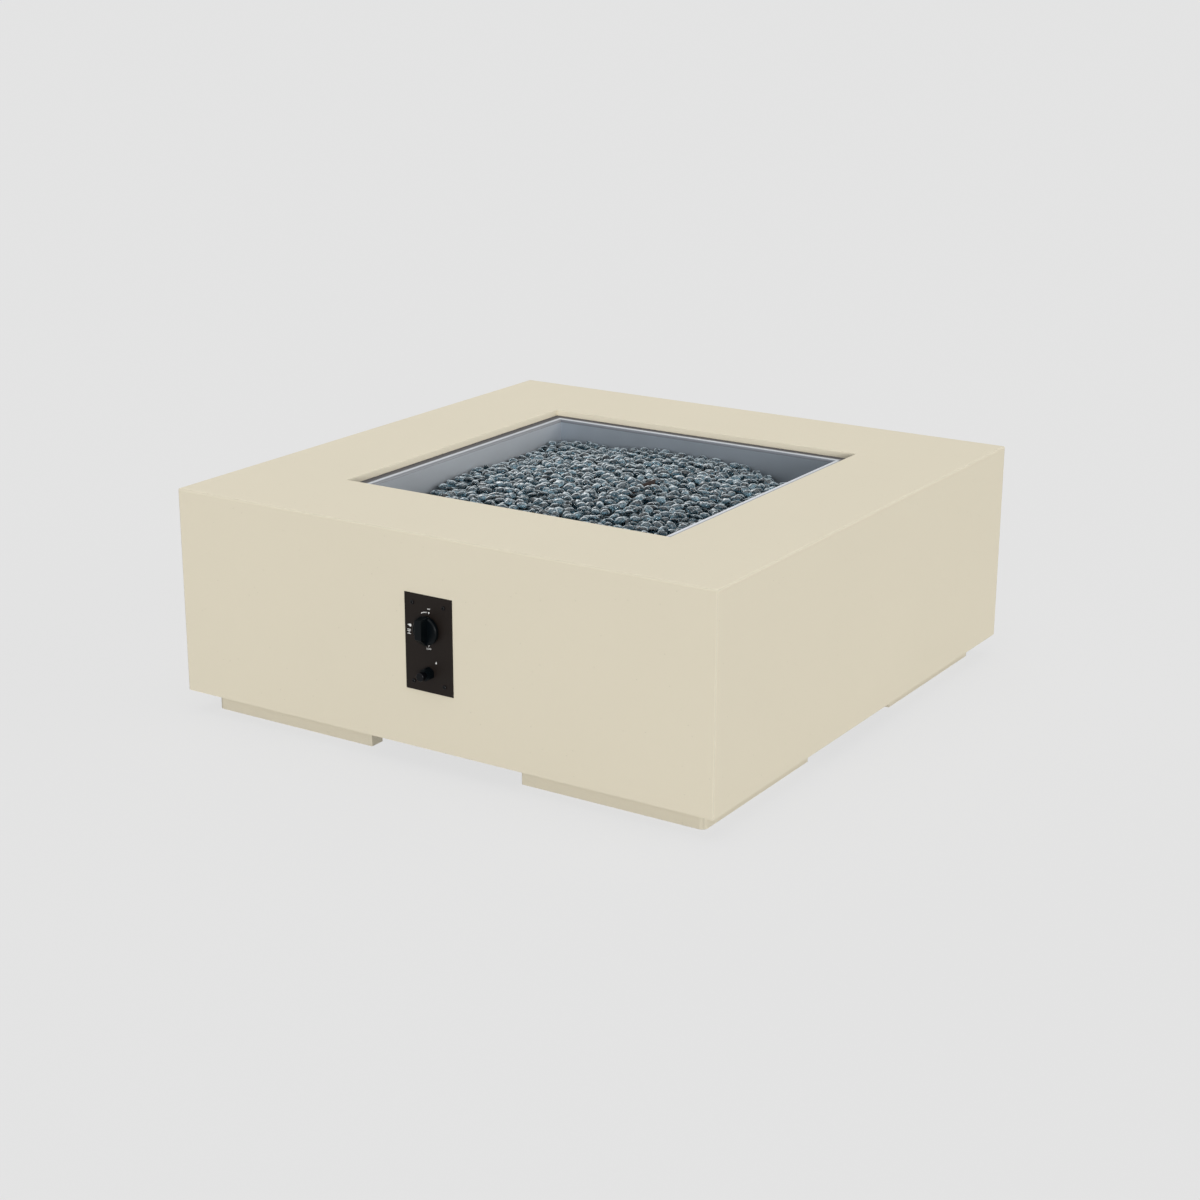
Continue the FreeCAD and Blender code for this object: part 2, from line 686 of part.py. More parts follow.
def burner():
    """Welded tube ring with a cross tube, a hub and a threaded nipple through the pan floor."""
    solid = fuse_all([burner_outline(0.0), rod_z(NIPPLE_RADIUS, NIPPLE_END, HUB_UNDER)])
    inner = TUBE_RADIUS - TUBE_WALL
    hollow = fuse_all([
        Part.makeTorus(RING_RADIUS, inner, Vector(0, 0, TUBE_Z), Z_AXIS),
        Part.makeCylinder(inner, 2 * RING_RADIUS, Vector(0, -RING_RADIUS, TUBE_Z), Y_AXIS),
        rod_z(NIPPLE_BORE, NIPPLE_END, TUBE_Z),
    ])
    tube = solid.cut(hollow)
    ports = []
    for step in range(RING_PORTS):
        angle = 2 * math.pi * (step + 0.5) / RING_PORTS
        x = RING_RADIUS * math.cos(angle)
        y = RING_RADIUS * math.sin(angle)
        ports.append(rod_z(PORT_RADIUS, TUBE_Z, TUBE_Z + TUBE_RADIUS, x, y))
    spacing = (RING_RADIUS - HUB_RADIUS) / (CROSS_PORTS + 1)
    for step in range(1, CROSS_PORTS + 1):
        for sign in (-1, 1):
            y = sign * (HUB_RADIUS + spacing * step)
            ports.append(rod_z(PORT_RADIUS, TUBE_Z, TUBE_Z + TUBE_RADIUS, 0.0, y))
    return tube.cut(Part.makeCompound(ports))


def burner_stands():
    """Bent steel saddles that carry the ring on the pan floor."""
    stands = []
    side = STAND_WIDTH / 2
    run = STAND_LENGTH / 2
    top = TUBE_Z - TUBE_RADIUS
    for step in range(STAND_COUNT):
        plate = block(
            RING_RADIUS - side, RING_RADIUS + side, -run, run, top - STAND_SHEET, top
        )
        legs = [
            block(RING_RADIUS + place, RING_RADIUS + place + STAND_SHEET, -run, run, PAN_FLOOR_TOP, top)
            for place in (-side, side - STAND_SHEET)
        ]
        stand = fuse_all([plate] + legs)
        stand.rotate(Vector(0, 0, 0), Z_AXIS, step * 360 / STAND_COUNT)
        stands.append(stand)
    return Part.makeCompound(stands)


def burner_locknuts():
    """Two thin nuts that clamp the nipple to the pan floor."""
    nuts = []
    for base in (PAN_FLOOR_TOP, PAN_FLOOR_UNDER - LOCKNUT_HEIGHT):
        nut = hexagon(LOCKNUT_ACROSS_FLATS, LOCKNUT_HEIGHT, Vector(0, 0, base), Z_AXIS)
        nuts.append(nut.cut(rod_z(NIPPLE_RADIUS + SEAT_GAP, base, base + LOCKNUT_HEIGHT)))
    return Part.makeCompound(nuts)


def air_mixer():
    """Brass tube on the nipple, with four slots that let air into the gas."""
    body = rod_z(MIXER_RADIUS, MIXER_BOTTOM, MIXER_TOP)
    socket_under = NIPPLE_END - PASS_GAP
    chamber_under = MIXER_BOTTOM + MIXER_FLOOR
    holes = [
        rod_z(NIPPLE_RADIUS + SEAT_GAP, socket_under, MIXER_TOP),
        rod_z(NIPPLE_BORE, chamber_under, socket_under),
        rod_z(MIXER_CHAMBER_RADIUS, chamber_under, socket_under - MIXER_SHOULDER),
        rod_z(ORIFICE_RADIUS + SEAT_GAP, MIXER_BOTTOM, chamber_under),
    ]
    slot_under = chamber_under + MIXER_SHOULDER
    slot_side = AIR_SLOT_WIDTH / 2
    reach = MIXER_RADIUS
    holes.append(block(-reach, reach, -slot_side, slot_side, slot_under, slot_under + AIR_SLOT_HEIGHT))
    holes.append(block(-slot_side, slot_side, -reach, reach, slot_under, slot_under + AIR_SLOT_HEIGHT))
    return cut_all(body, holes)


def orifice_fitting():
    """Brass fitting with the gas orifice above and a flared thread below."""
    shank_top = MIXER_BOTTOM + MIXER_FLOOR
    fitting = fuse_all([
        hexagon(ORIFICE_HEX, ORIFICE_HEX_HEIGHT, Vector(0, 0, ORIFICE_UNDER), Z_AXIS),
        rod_z(ORIFICE_RADIUS, MIXER_BOTTOM, shank_top),
        Part.makeCone(ORIFICE_RADIUS, ORIFICE_RADIUS / 2, ORIFICE_NOSE, Vector(0, 0, shank_top), Z_AXIS),
        rod_z(FLARE_RADIUS, FEED_END_Z, ORIFICE_UNDER),
    ])
    wide = rod_z(FLARE_BORE, FEED_END_Z, MIXER_BOTTOM)
    jet = rod_z(ORIFICE_BORE, MIXER_BOTTOM, shank_top + ORIFICE_NOSE)
    return cut_all(fitting, [wide, jet])


def hose_points():
    """Route of the burner hose, from the valve outlet to the fitting under the air mixer."""
    outlet = Vector(FITTING_END, FRONT_Y + PORT_DEPTH, KNOB_Z)
    inlet = Vector(0, 0, FEED_END_Z)
    return [
        outlet,
        Vector(outlet.x + 72, outlet.y, outlet.z),
        Vector(188, -447, 226),
        Vector(232, -366, 190),
        Vector(238, -270, 150),
        Vector(206, -178, 112),
        Vector(134, -106, 84),
        Vector(54, -52, 78),
        Vector(inlet.x, inlet.y, inlet.z - 72),
        inlet,
    ]


def flex_hose():
    """Flexible metal hose between valve and burner."""
    return cord("flex_hose", HOSE_RADIUS, hose_points())


def hose_nuts():
    """Union nuts at both ends of the burner hose."""
    lower_start = Vector(0, 0, FEED_END_Z - HOSE_NUT_SKIRT)
    lower = hexagon(HOSE_NUT_HEX, HOSE_NUT_SKIRT + HOSE_NUT_GRIP, lower_start, Z_AXIS)
    lower = cut_all(lower, [
        rod_z(FLARE_RADIUS + SEAT_GAP, FEED_END_Z, FEED_END_Z + HOSE_NUT_GRIP),
        rod_z(HOSE_RADIUS + SEAT_GAP, FEED_END_Z - HOSE_NUT_SKIRT, FEED_END_Z),
    ])
    y = FRONT_Y + PORT_DEPTH
    upper_start = Vector(FITTING_END - HOSE_NUT_GRIP, y, KNOB_Z)
    upper = hexagon(HOSE_NUT_HEX, HOSE_NUT_SKIRT + HOSE_NUT_GRIP, upper_start, X_AXIS)
    upper = cut_all(upper, [
        rod_x(FLARE_RADIUS + SEAT_GAP, FITTING_END - HOSE_NUT_GRIP, FITTING_END, y, KNOB_Z),
        rod_x(HOSE_RADIUS + SEAT_GAP, FITTING_END, FITTING_END + HOSE_NUT_SKIRT, y, KNOB_Z),
    ])
    return Part.makeCompound([lower, upper])


def hood_prism(inset, y0, y1):
    """The hood's slanted cross section, pulled in by an inset, between two Y places."""
    low_x = HOOD_LOW_X + inset
    high_x = HOOD_HIGH_X - inset
    slope = (HOOD_HIGH_SIDE - HOOD_LOW_SIDE) / (HOOD_HIGH_X - HOOD_LOW_X)
    drop = inset * math.hypot(1, slope)
    low_z = PAN_FLOOR_TOP + HOOD_LOW_SIDE + slope * inset - drop
    high_z = PAN_FLOOR_TOP + HOOD_HIGH_SIDE - slope * inset - drop
    corners = [
        Vector(low_x, y0, PAN_FLOOR_TOP),
        Vector(high_x, y0, PAN_FLOOR_TOP),
        Vector(high_x, y0, high_z),
        Vector(low_x, y0, low_z),
        Vector(low_x, y0, PAN_FLOOR_TOP),
    ]
    return Part.Face(Part.makePolygon(corners)).extrude(Y_AXIS * (y1 - y0))


def hood_tabs(grow, height):
    """The two tabs at the foot of the hood, grown by a gap."""
    side = HOOD_TAB / 2 + grow
    front = block(
        HOOD_MID_X - side, HOOD_MID_X + side, HOOD_FRONT_Y - HOOD_TAB - grow, HOOD_FRONT_Y,
        PAN_FLOOR_TOP, PAN_FLOOR_TOP + height,
    )
    back = block(
        HOOD_MID_X - side, HOOD_MID_X + side, HOOD_BACK_Y, HOOD_BACK_Y + HOOD_TAB + grow,
        PAN_FLOOR_TOP, PAN_FLOOR_TOP + height,
    )
    return [front, back]


def hood_screw_points():
    """Centres of the two screws that hold the hood, as X and Y."""
    return [
        (HOOD_MID_X, HOOD_FRONT_Y - HOOD_TAB / 2),
        (HOOD_MID_X, HOOD_BACK_Y + HOOD_TAB / 2),
    ]


def pilot_hood():
    """Dark steel hood with a slanted roof, which keeps the glass off the spark."""
    outside = hood_prism(0.0, HOOD_FRONT_Y, HOOD_BACK_Y)
    inside = hood_prism(HOOD_SHEET, HOOD_FRONT_Y + HOOD_SHEET, HOOD_BACK_Y - HOOD_SHEET)
    hood = fuse_all([outside.cut(inside)] + hood_tabs(0.0, HOOD_SHEET))
    pitch = (HOOD_BACK_Y - HOOD_FRONT_Y) / HOOD_SLOTS
    sill = PAN_FLOOR_TOP + HOOD_SLOT_SILL
    holes = []
    for step in range(HOOD_SLOTS):
        middle = HOOD_FRONT_Y + pitch * (step + 0.5)
        holes.append(block(
            HOOD_LOW_X, HOOD_LOW_X + HOOD_SHEET,
            middle - HOOD_SLOT_WIDTH / 2, middle + HOOD_SLOT_WIDTH / 2,
            sill, sill + HOOD_SLOT_HEIGHT,
        ))
    for x, y in hood_screw_points():
        holes.append(rod_z(SMALL_SCREW_RADIUS + SEAT_GAP, PAN_FLOOR_TOP, PAN_FLOOR_TOP + HOOD_SHEET, x, y))
    return cut_all(hood, holes)


def small_screw(axis_start, inward, length, turned):
    """A cross-recessed pan head screw. The head lies outside the start point."""
    shank = Part.makeCylinder(SMALL_SCREW_RADIUS, length, axis_start, inward)
    head = Part.makeCylinder(SMALL_HEAD_RADIUS, SMALL_HEAD_HEIGHT, axis_start, inward * -1)
    rim = edges_where(
        head,
        lambda edge, middle: not runs_along(edge, inward)
        and (middle - axis_start).dot(inward) < -SMALL_HEAD_HEIGHT / 2,
    )
    head = head.makeFillet(SMALL_HEAD_HEIGHT / 2, rim)
    screw = fuse_all([shank, head])
    side = inward.cross(Z_AXIS) if abs(inward.z) < 0.5 else X_AXIS
    recess_start = axis_start - inward * SMALL_HEAD_HEIGHT
    for angle in (turned, turned + 90):
        bar = block(
            -RECESS_LENGTH / 2, RECESS_LENGTH / 2, -RECESS_WIDTH / 2, RECESS_WIDTH / 2, 0, RECESS_DEPTH
        )
        bar.rotate(Vector(0, 0, 0), Z_AXIS, angle)
        bar.Placement = FreeCAD.Placement(
            recess_start, FreeCAD.Rotation(side, inward.cross(side), inward, "ZXY")
        ).multiply(bar.Placement)
        screw = screw.cut(bar)
    return screw


def pilot_screws():
    """Screws through the tabs of the hood and the pan floor."""
    screws = []
    length = HOOD_SHEET + PAN_SHEET + SMALL_SCREW_TAIL
    for turned, (x, y) in zip((20, 65), hood_screw_points()):
        start = Vector(x, y, PAN_FLOOR_TOP + HOOD_SHEET)
        screws.append(small_screw(start, Z_AXIS * -1, length, turned))
    return Part.makeCompound(screws)


def pilot_bracket():
    """Steel plate under the hood that holds the electrode and the thermocouple."""
    side = BRACKET_SPAN_X / 2
    plate = block(
        HOOD_MID_X - side, HOOD_MID_X + side,
        ELECTRODE_Y - BRACKET_MARGIN_Y, THERMOCOUPLE_Y + BRACKET_MARGIN_Y,
        PAN_FLOOR_TOP, PAN_FLOOR_TOP + BRACKET_SHEET,
    )
    top = PAN_FLOOR_TOP + BRACKET_SHEET
    return cut_all(plate, [
        rod_z(CERAMIC_RADIUS + SEAT_GAP, PAN_FLOOR_TOP, top, HOOD_MID_X, ELECTRODE_Y),
        rod_z(SENSOR_RADIUS + SEAT_GAP, PAN_FLOOR_TOP, top, HOOD_MID_X, THERMOCOUPLE_Y),
    ])


def electrode_insulator():
    """White ceramic sleeve of the spark electrode."""
    seat = PAN_FLOOR_TOP + BRACKET_SHEET
    top = PAN_FLOOR_TOP + CERAMIC_ABOVE_FLOOR
    sleeve = fuse_all([
        rod_z(CERAMIC_RADIUS, SPARK_LEAD_Z, top, HOOD_MID_X, ELECTRODE_Y),
        rod_z(CERAMIC_COLLAR, seat, seat + CERAMIC_COLLAR_HEIGHT, HOOD_MID_X, ELECTRODE_Y),
    ])
    return sleeve.cut(rod_z(SPARK_ROD_RADIUS + SEAT_GAP, SPARK_LEAD_Z, top, HOOD_MID_X, ELECTRODE_Y))


def electrode_rod():
    """Spark wire in the ceramic sleeve, bent towards the burner."""
    bend_z = PAN_FLOOR_TOP + CERAMIC_ABOVE_FLOOR + SPARK_ROD_RISE
    upright = rod_z(SPARK_ROD_RADIUS, SPARK_LEAD_Z, bend_z, HOOD_MID_X, ELECTRODE_Y)
    arm = rod_x(SPARK_ROD_RADIUS, HOOD_MID_X - SPARK_ROD_REACH, HOOD_MID_X, ELECTRODE_Y, bend_z)
    elbow = Part.makeSphere(SPARK_ROD_RADIUS, Vector(HOOD_MID_X, ELECTRODE_Y, bend_z))
    return fuse_all([upright, arm, elbow])


def thermocouple():
    """Flame sensor that stands beside the electrode."""
    shoulder = PAN_FLOOR_TOP + SENSOR_ABOVE_FLOOR - SENSOR_RADIUS
    stick = rod_z(SENSOR_RADIUS, SENSOR_LEAD_Z, shoulder, HOOD_MID_X, THERMOCOUPLE_Y)
    tip = Part.makeSphere(SENSOR_RADIUS, Vector(HOOD_MID_X, THERMOCOUPLE_Y, shoulder))
    return fuse_all([stick, tip])


def thermocouple_nut():
    """Nut that holds the thermocouple on its bracket."""
    seat = PAN_FLOOR_TOP + BRACKET_SHEET
    nut = hexagon(SENSOR_NUT_HEX, SENSOR_NUT_HEIGHT, Vector(HOOD_MID_X, THERMOCOUPLE_Y, seat), Z_AXIS)
    bore = rod_z(SENSOR_RADIUS + SEAT_GAP, seat, seat + SENSOR_NUT_HEIGHT, HOOD_MID_X, THERMOCOUPLE_Y)
    return nut.cut(bore)


def ignition_lead():
    """Insulated lead from the igniter to the electrode."""
    start = Vector(0, FRONT_Y + IGNITER_END, IGNITER_Z)
    end = Vector(HOOD_MID_X, ELECTRODE_Y, SPARK_LEAD_Z)
    return cord("ignition_lead", LEAD_RADIUS, [
        start,
        Vector(start.x, start.y + 44, start.z),
        Vector(12, -388, 158),
        Vector(34, -336, 148),
        Vector(62, -286, 146),
        Vector(88, -234, 154),
        Vector(104, -180, 168),
        Vector(110, -126, 186),
        Vector(106, -76, 206),
        Vector(90, -34, 228),
        Vector(64, -8, 250),
        Vector(end.x, end.y, end.z - 30),
        end,
    ])


def thermocouple_lead():
    """Thin copper lead from the thermocouple to the magnet at the back of the valve."""
    start = Vector(0, FRONT_Y + MAGNET_END + LEAD_NUT_DEPTH, KNOB_Z)
    end = Vector(HOOD_MID_X, THERMOCOUPLE_Y, SENSOR_LEAD_Z)
    return cord("thermocouple_lead", SENSOR_LEAD_RADIUS, [
        start,
        Vector(start.x, start.y + 40, start.z),
        Vector(-8, -344, 240),
        Vector(-14, -294, 230),
        Vector(-12, -240, 222),
        Vector(2, -188, 218),
        Vector(26, -140, 219),
        Vector(50, -90, 224),
        Vector(66, -36, 232),
        Vector(66, 8, 246),
        Vector(end.x, end.y, end.z - 34),
        end,
    ])


def glass_level(x, y, half):
    """Height of the heap's surface: a shallow dome with its rises and hollows."""
    height = FLANGE_TOP - GLASS_PEAK_DROP - (x * x + y * y) / (2 * GLASS_DOME_RADIUS)
    for share_x, share_y, rise, reach in GLASS_MOUNDS:
        away = math.hypot(x - share_x * half, y - share_y * half)
        height += rise * math.exp(-(away / reach) ** 2)
    return height


def glass_heap(half, under):
    """Closed heap from its underside up to one smooth uneven sheet."""
    steps = GLASS_SHEET_POINTS - 1
    places = [half * (2 * step / steps - 1) for step in range(GLASS_SHEET_POINTS)]
    sheet = Part.BSplineSurface()
    sheet.interpolate([[Vector(x, y, glass_level(x, y, half)) for y in places] for x in places])
    top = sheet.toShape().Faces[0]
    faces = [top]
    for edge in top.Edges:
        first, last = edge.valueAt(edge.FirstParameter), edge.valueAt(edge.LastParameter)
        below_first, below_last = Vector(first.x, first.y, under), Vector(last.x, last.y, under)
        rest = Part.makePolygon([last, below_last, below_first, first])
        faces.append(Part.Face(Part.Wire([edge] + rest.Edges)))
    corners = [(-half, -half), (half, -half), (half, half), (-half, half), (-half, -half)]
    faces.append(Part.Face(Part.makePolygon([Vector(x, y, under) for x, y in corners])))
    shell = Part.makeShell(faces)
    shell.sewShape()
    return Part.Solid(shell)


def fire_glass():
    """The loose glass as one heap, kept clear of all that stands in it."""
    under = PAN_FLOOR_TOP + GLASS_GAP
    bed = glass_heap(PAN_INNER - GLASS_GAP, under)
    lower_edges = edges_where(bed, lambda edge, middle: near(middle.z, under))
    bed = bed.makeFillet(PAN_FLOOR_RADIUS - PAN_SHEET, lower_edges)
    hood_side = GLASS_GAP
    hood_room = block(
        HOOD_LOW_X - hood_side, HOOD_HIGH_X + hood_side,
        HOOD_FRONT_Y - hood_side, HOOD_BACK_Y + hood_side,
        PAN_FLOOR_TOP, TABLE_HEIGHT,
    )
    slope = (HOOD_HIGH_SIDE - HOOD_LOW_SIDE) / (HOOD_HIGH_X - HOOD_LOW_X)
    roof = [
        Vector(HOOD_LOW_X - hood_side, 0, PAN_FLOOR_TOP + HOOD_LOW_SIDE + GLASS_GAP - slope * hood_side),
        Vector(HOOD_HIGH_X + hood_side, 0, PAN_FLOOR_TOP + HOOD_HIGH_SIDE + GLASS_GAP + slope * hood_side),
        Vector(HOOD_HIGH_X + hood_side, 0, TABLE_HEIGHT),
        Vector(HOOD_LOW_X - hood_side, 0, TABLE_HEIGHT),
        Vector(HOOD_LOW_X - hood_side, 0, PAN_FLOOR_TOP + HOOD_LOW_SIDE + GLASS_GAP - slope * hood_side),
    ]
    above = Part.Face(Part.makePolygon(roof)).extrude(Y_AXIS * (HOOD_BACK_Y - HOOD_FRONT_Y + 2 * hood_side))
    above.translate(Vector(0, HOOD_FRONT_Y - hood_side, 0))
    rooms = [burner_outline(GLASS_GAP), hood_room.cut(above)]
    tab_height = HOOD_SHEET + SMALL_HEAD_HEIGHT + GLASS_GAP
    rooms.extend(hood_tabs(GLASS_GAP, tab_height))
    nut_radius = LOCKNUT_ACROSS_FLATS / math.sqrt(3) + GLASS_GAP
    rooms.append(rod_z(nut_radius, PAN_FLOOR_TOP, HUB_UNDER))
    top = TUBE_Z - TUBE_RADIUS + GLASS_GAP
    side = STAND_WIDTH / 2 + GLASS_GAP
    run = STAND_LENGTH / 2 + GLASS_GAP
    for step in range(STAND_COUNT):
        room = block(RING_RADIUS - side, RING_RADIUS + side, -run, run, PAN_FLOOR_TOP, top)
        room.rotate(Vector(0, 0, 0), Z_AXIS, step * 360 / STAND_COUNT)
        rooms.append(room)
    return cut_all(bed, rooms)


def control_panel():
    """Dark front plate with holes for its screws, the valve shaft and the igniter."""
    plate = block(
        -PANEL_WIDTH / 2, PANEL_WIDTH / 2, FRONT_Y - PANEL_SHEET, FRONT_Y,
        PANEL_Z - PANEL_HEIGHT / 2, PANEL_Z + PANEL_HEIGHT / 2,
    )
    front_edges = edges_where(plate, lambda edge, middle: near(middle.y, FRONT_Y - PANEL_SHEET))
    plate = plate.makeFillet(PANEL_EDGE_RADIUS, front_edges)
    holes = [
        rod_in(SHAFT_RADIUS + PASS_GAP, PANEL_FRONT, 0, 0.0, KNOB_Z),
        rod_in(IGNITER_BARREL_RADIUS + SEAT_GAP, PANEL_FRONT, 0, 0.0, IGNITER_Z),
    ]
    for x, z in panel_screw_points() + valve_screw_points():
        holes.append(rod_in(SMALL_SCREW_RADIUS + SEAT_GAP, PANEL_FRONT, 0, x, z))
    return cut_all(plate, holes)


def panel_screws():
    """Four screws that clamp the panel, the wall and the back plate."""
    length = PANEL_SHEET + WALL + BACK_PLATE_SHEET + PANEL_NUT_HEIGHT + PANEL_SCREW_TAIL
    screws = []
    for turned, (x, z) in zip((15, 40, 70, 5), panel_screw_points()):
        screws.append(small_screw(Vector(x, FRONT_Y + PANEL_FRONT, z), Y_AXIS, length, turned))
    return Part.makeCompound(screws)


def panel_back_plate():
    """Steel plate on the inside of the wall that the panel screws pull against."""
    plate = block(
        -PANEL_WIDTH / 2, PANEL_WIDTH / 2, FRONT_Y + WALL, FRONT_Y + WALL + BACK_PLATE_SHEET,
        PANEL_Z - PANEL_HEIGHT / 2, PANEL_Z + PANEL_HEIGHT / 2,
    )
    holes = [wall_cutout(WALL, WALL + BACK_PLATE_SHEET)]
    for x, z in panel_screw_points():
        holes.append(rod_in(SMALL_SCREW_RADIUS + SEAT_GAP, WALL, WALL + BACK_PLATE_SHEET, x, z))
    return cut_all(plate, holes)


def panel_nuts():
    """Nuts welded to the back plate."""
    nuts = []
    depth = WALL + BACK_PLATE_SHEET
    for x, z in panel_screw_points():
        nut = hexagon(PANEL_NUT_HEX, PANEL_NUT_HEIGHT, Vector(x, FRONT_Y + depth, z), Y_AXIS)
        nuts.append(nut.cut(rod_in(SMALL_SCREW_RADIUS + SEAT_GAP, depth, depth + PANEL_NUT_HEIGHT, x, z)))
    return Part.makeCompound(nuts)


def valve_block(depth0, depth1):
    """The square section of the gas valve between two depths, with rounded long edges."""
    side = VALVE_WIDTH / 2
    body = block(-side, side, FRONT_Y + depth0, FRONT_Y + depth1, KNOB_Z - side, KNOB_Z + side)
    long_edges = edges_where(body, lambda edge, middle: runs_along(edge, Y_AXIS))
    return body.makeFillet(VALVE_EDGE_RADIUS, long_edges)


def gas_valve_body():
    """Cast valve body: spring room, tapered plug bore, safety seat and rear room."""
    body = valve_block(BONNET_DEPTH, VALVE_BACK)
    side = VALVE_WIDTH / 2
    y_out = FRONT_Y + PORT_DEPTH
    y_in = FRONT_Y + INLET_DEPTH
    holes = [
        rod_in(SPRING_ROOM_RADIUS, BONNET_DEPTH, PLUG_FRONT, 0.0, KNOB_Z),
        cone_in(
            PLUG_FRONT_RADIUS + SLIDE_GAP, PLUG_BACK_RADIUS + SLIDE_GAP, PLUG_FRONT, PLUG_BACK, 0.0, KNOB_Z
        ),
        rod_in(SEAT_RADIUS, PLUG_BACK, REAR_ROOM_START, 0.0, KNOB_Z),
        rod_in(REAR_ROOM_RADIUS, REAR_ROOM_START, VALVE_BACK, 0.0, KNOB_Z),
        rod_x(GAS_WAY_RADIUS, 0.0, side, y_out, KNOB_Z),
        rod_x(FITTING_THREAD_RADIUS + SEAT_GAP, side - FITTING_THREAD_LENGTH, side, y_out, KNOB_Z),
        rod_x(GAS_WAY_RADIUS, -side, 0.0, y_in, KNOB_Z),
        rod_x(FITTING_THREAD_RADIUS + SEAT_GAP, -side, FITTING_THREAD_LENGTH - side, y_in, KNOB_Z),
    ]
    for x, z in valve_screw_points():
        grip_end = BONNET_DEPTH + VALVE_SCREW_GRIP
        holes.append(rod_in(SMALL_SCREW_RADIUS + SEAT_GAP, BONNET_DEPTH, grip_end, x, z))
    return cut_all(body, holes)


def valve_bonnet():
    """Front cover of the valve, which guides the shaft."""
    cover = valve_block(0, BONNET_DEPTH)
    holes = [rod_in(SHAFT_RADIUS + SLIDE_GAP, 0, BONNET_DEPTH, 0.0, KNOB_Z)]
    for x, z in valve_screw_points():
        holes.append(rod_in(SMALL_SCREW_RADIUS + SEAT_GAP, 0, BONNET_DEPTH, x, z))
    return cut_all(cover, holes)


def valve_screws():
    """Two screws through panel and bonnet into the valve, hidden by the knob."""
    length = PANEL_SHEET + BONNET_DEPTH + VALVE_SCREW_GRIP - PASS_GAP
    screws = []
    for turned, (x, z) in zip((30, 75), valve_screw_points()):
        screws.append(small_screw(Vector(x, FRONT_Y + PANEL_FRONT, z), Y_AXIS, length, turned))
    return Part.makeCompound(screws)


def gas_fitting(sign, depth):
    """A brass fitting in the side of the valve: thread, hexagon and flared thread."""
    y = FRONT_Y + depth
    hex_end = FITTING_FACE + FITTING_HEX_LENGTH
    fitting = fuse_all([
        rod_x(FITTING_THREAD_RADIUS, FITTING_FACE - FITTING_THREAD_LENGTH, FITTING_FACE, y, KNOB_Z),
        hexagon(FITTING_HEX, FITTING_HEX_LENGTH, Vector(FITTING_FACE, y, KNOB_Z), X_AXIS),
        rod_x(FLARE_RADIUS, hex_end, FITTING_END, y, KNOB_Z),
    ])
    fitting = fitting.cut(
        rod_x(FLARE_BORE, FITTING_FACE - FITTING_THREAD_LENGTH, FITTING_END, y, KNOB_Z)
    )
    if sign < 0:
        fitting = fitting.mirror(Vector(0, 0, 0), X_AXIS)
    return fitting


def valve_plug():
    """Tapered plug that meters the gas. Its ports open towards the outlet at high and low."""
    plug = cone_in(PLUG_FRONT_RADIUS, PLUG_BACK_RADIUS, PLUG_FRONT, PLUG_BACK, 0.0, KNOB_Z)
    socket = shaft_section(SLIDE_GAP, PLUG_FRONT, PLUG_WEB_START)
    y = FRONT_Y + PORT_DEPTH
    high_port = rod_z(PLUG_PORT_RADIUS, KNOB_Z - PLUG_FRONT_RADIUS, KNOB_Z, 0.0, y)
    low_port = rod_x(PLUG_LOW_PORT_RADIUS, -PLUG_FRONT_RADIUS, 0.0, y, KNOB_Z)
    return cut_all(plug, [
        socket,
        rod_in(PIN_RADIUS + SLIDE_GAP, PLUG_WEB_START, PLUG_WEB_END, 0.0, KNOB_Z),
        rod_in(PLUG_GAS_RADIUS, PLUG_WEB_END, PLUG_BACK, 0.0, KNOB_Z),
        high_port,
        low_port,
    ])


def shaft_section(grow, depth0, depth1):
    """The shaft's round section with one flat, grown by a gap."""
    shaft = rod_in(SHAFT_RADIUS + grow, depth0, depth1, 0.0, KNOB_Z)
    reach = SHAFT_RADIUS + grow
    beyond = block(
        SHAFT_FLAT + grow, reach, FRONT_Y + depth0, FRONT_Y + depth1, KNOB_Z - reach, KNOB_Z + reach
    )
    return shaft.cut(beyond)


def valve_stem():
    """Shaft from knob to plug, with a thin pin that opens the safety valve."""
    return fuse_all([
        shaft_section(0.0, SHAFT_TIP, KNOB_HUB_BACK),
        rod_in(SHAFT_RADIUS, KNOB_HUB_BACK, CLIP_BACK, 0.0, KNOB_Z),
        shaft_section(0.0, CLIP_BACK, TONGUE_END),
        rod_in(PIN_RADIUS, TONGUE_END, PIN_END, 0.0, KNOB_Z),
    ])


def stem_clip():
    """Ring on the shaft that stops against the bonnet and carries the spring."""
    ring = rod_in(CLIP_RADIUS, CLIP_FRONT, CLIP_BACK, 0.0, KNOB_Z)
    return ring.cut(rod_in(SHAFT_RADIUS + SEAT_GAP, CLIP_FRONT, CLIP_BACK, 0.0, KNOB_Z))


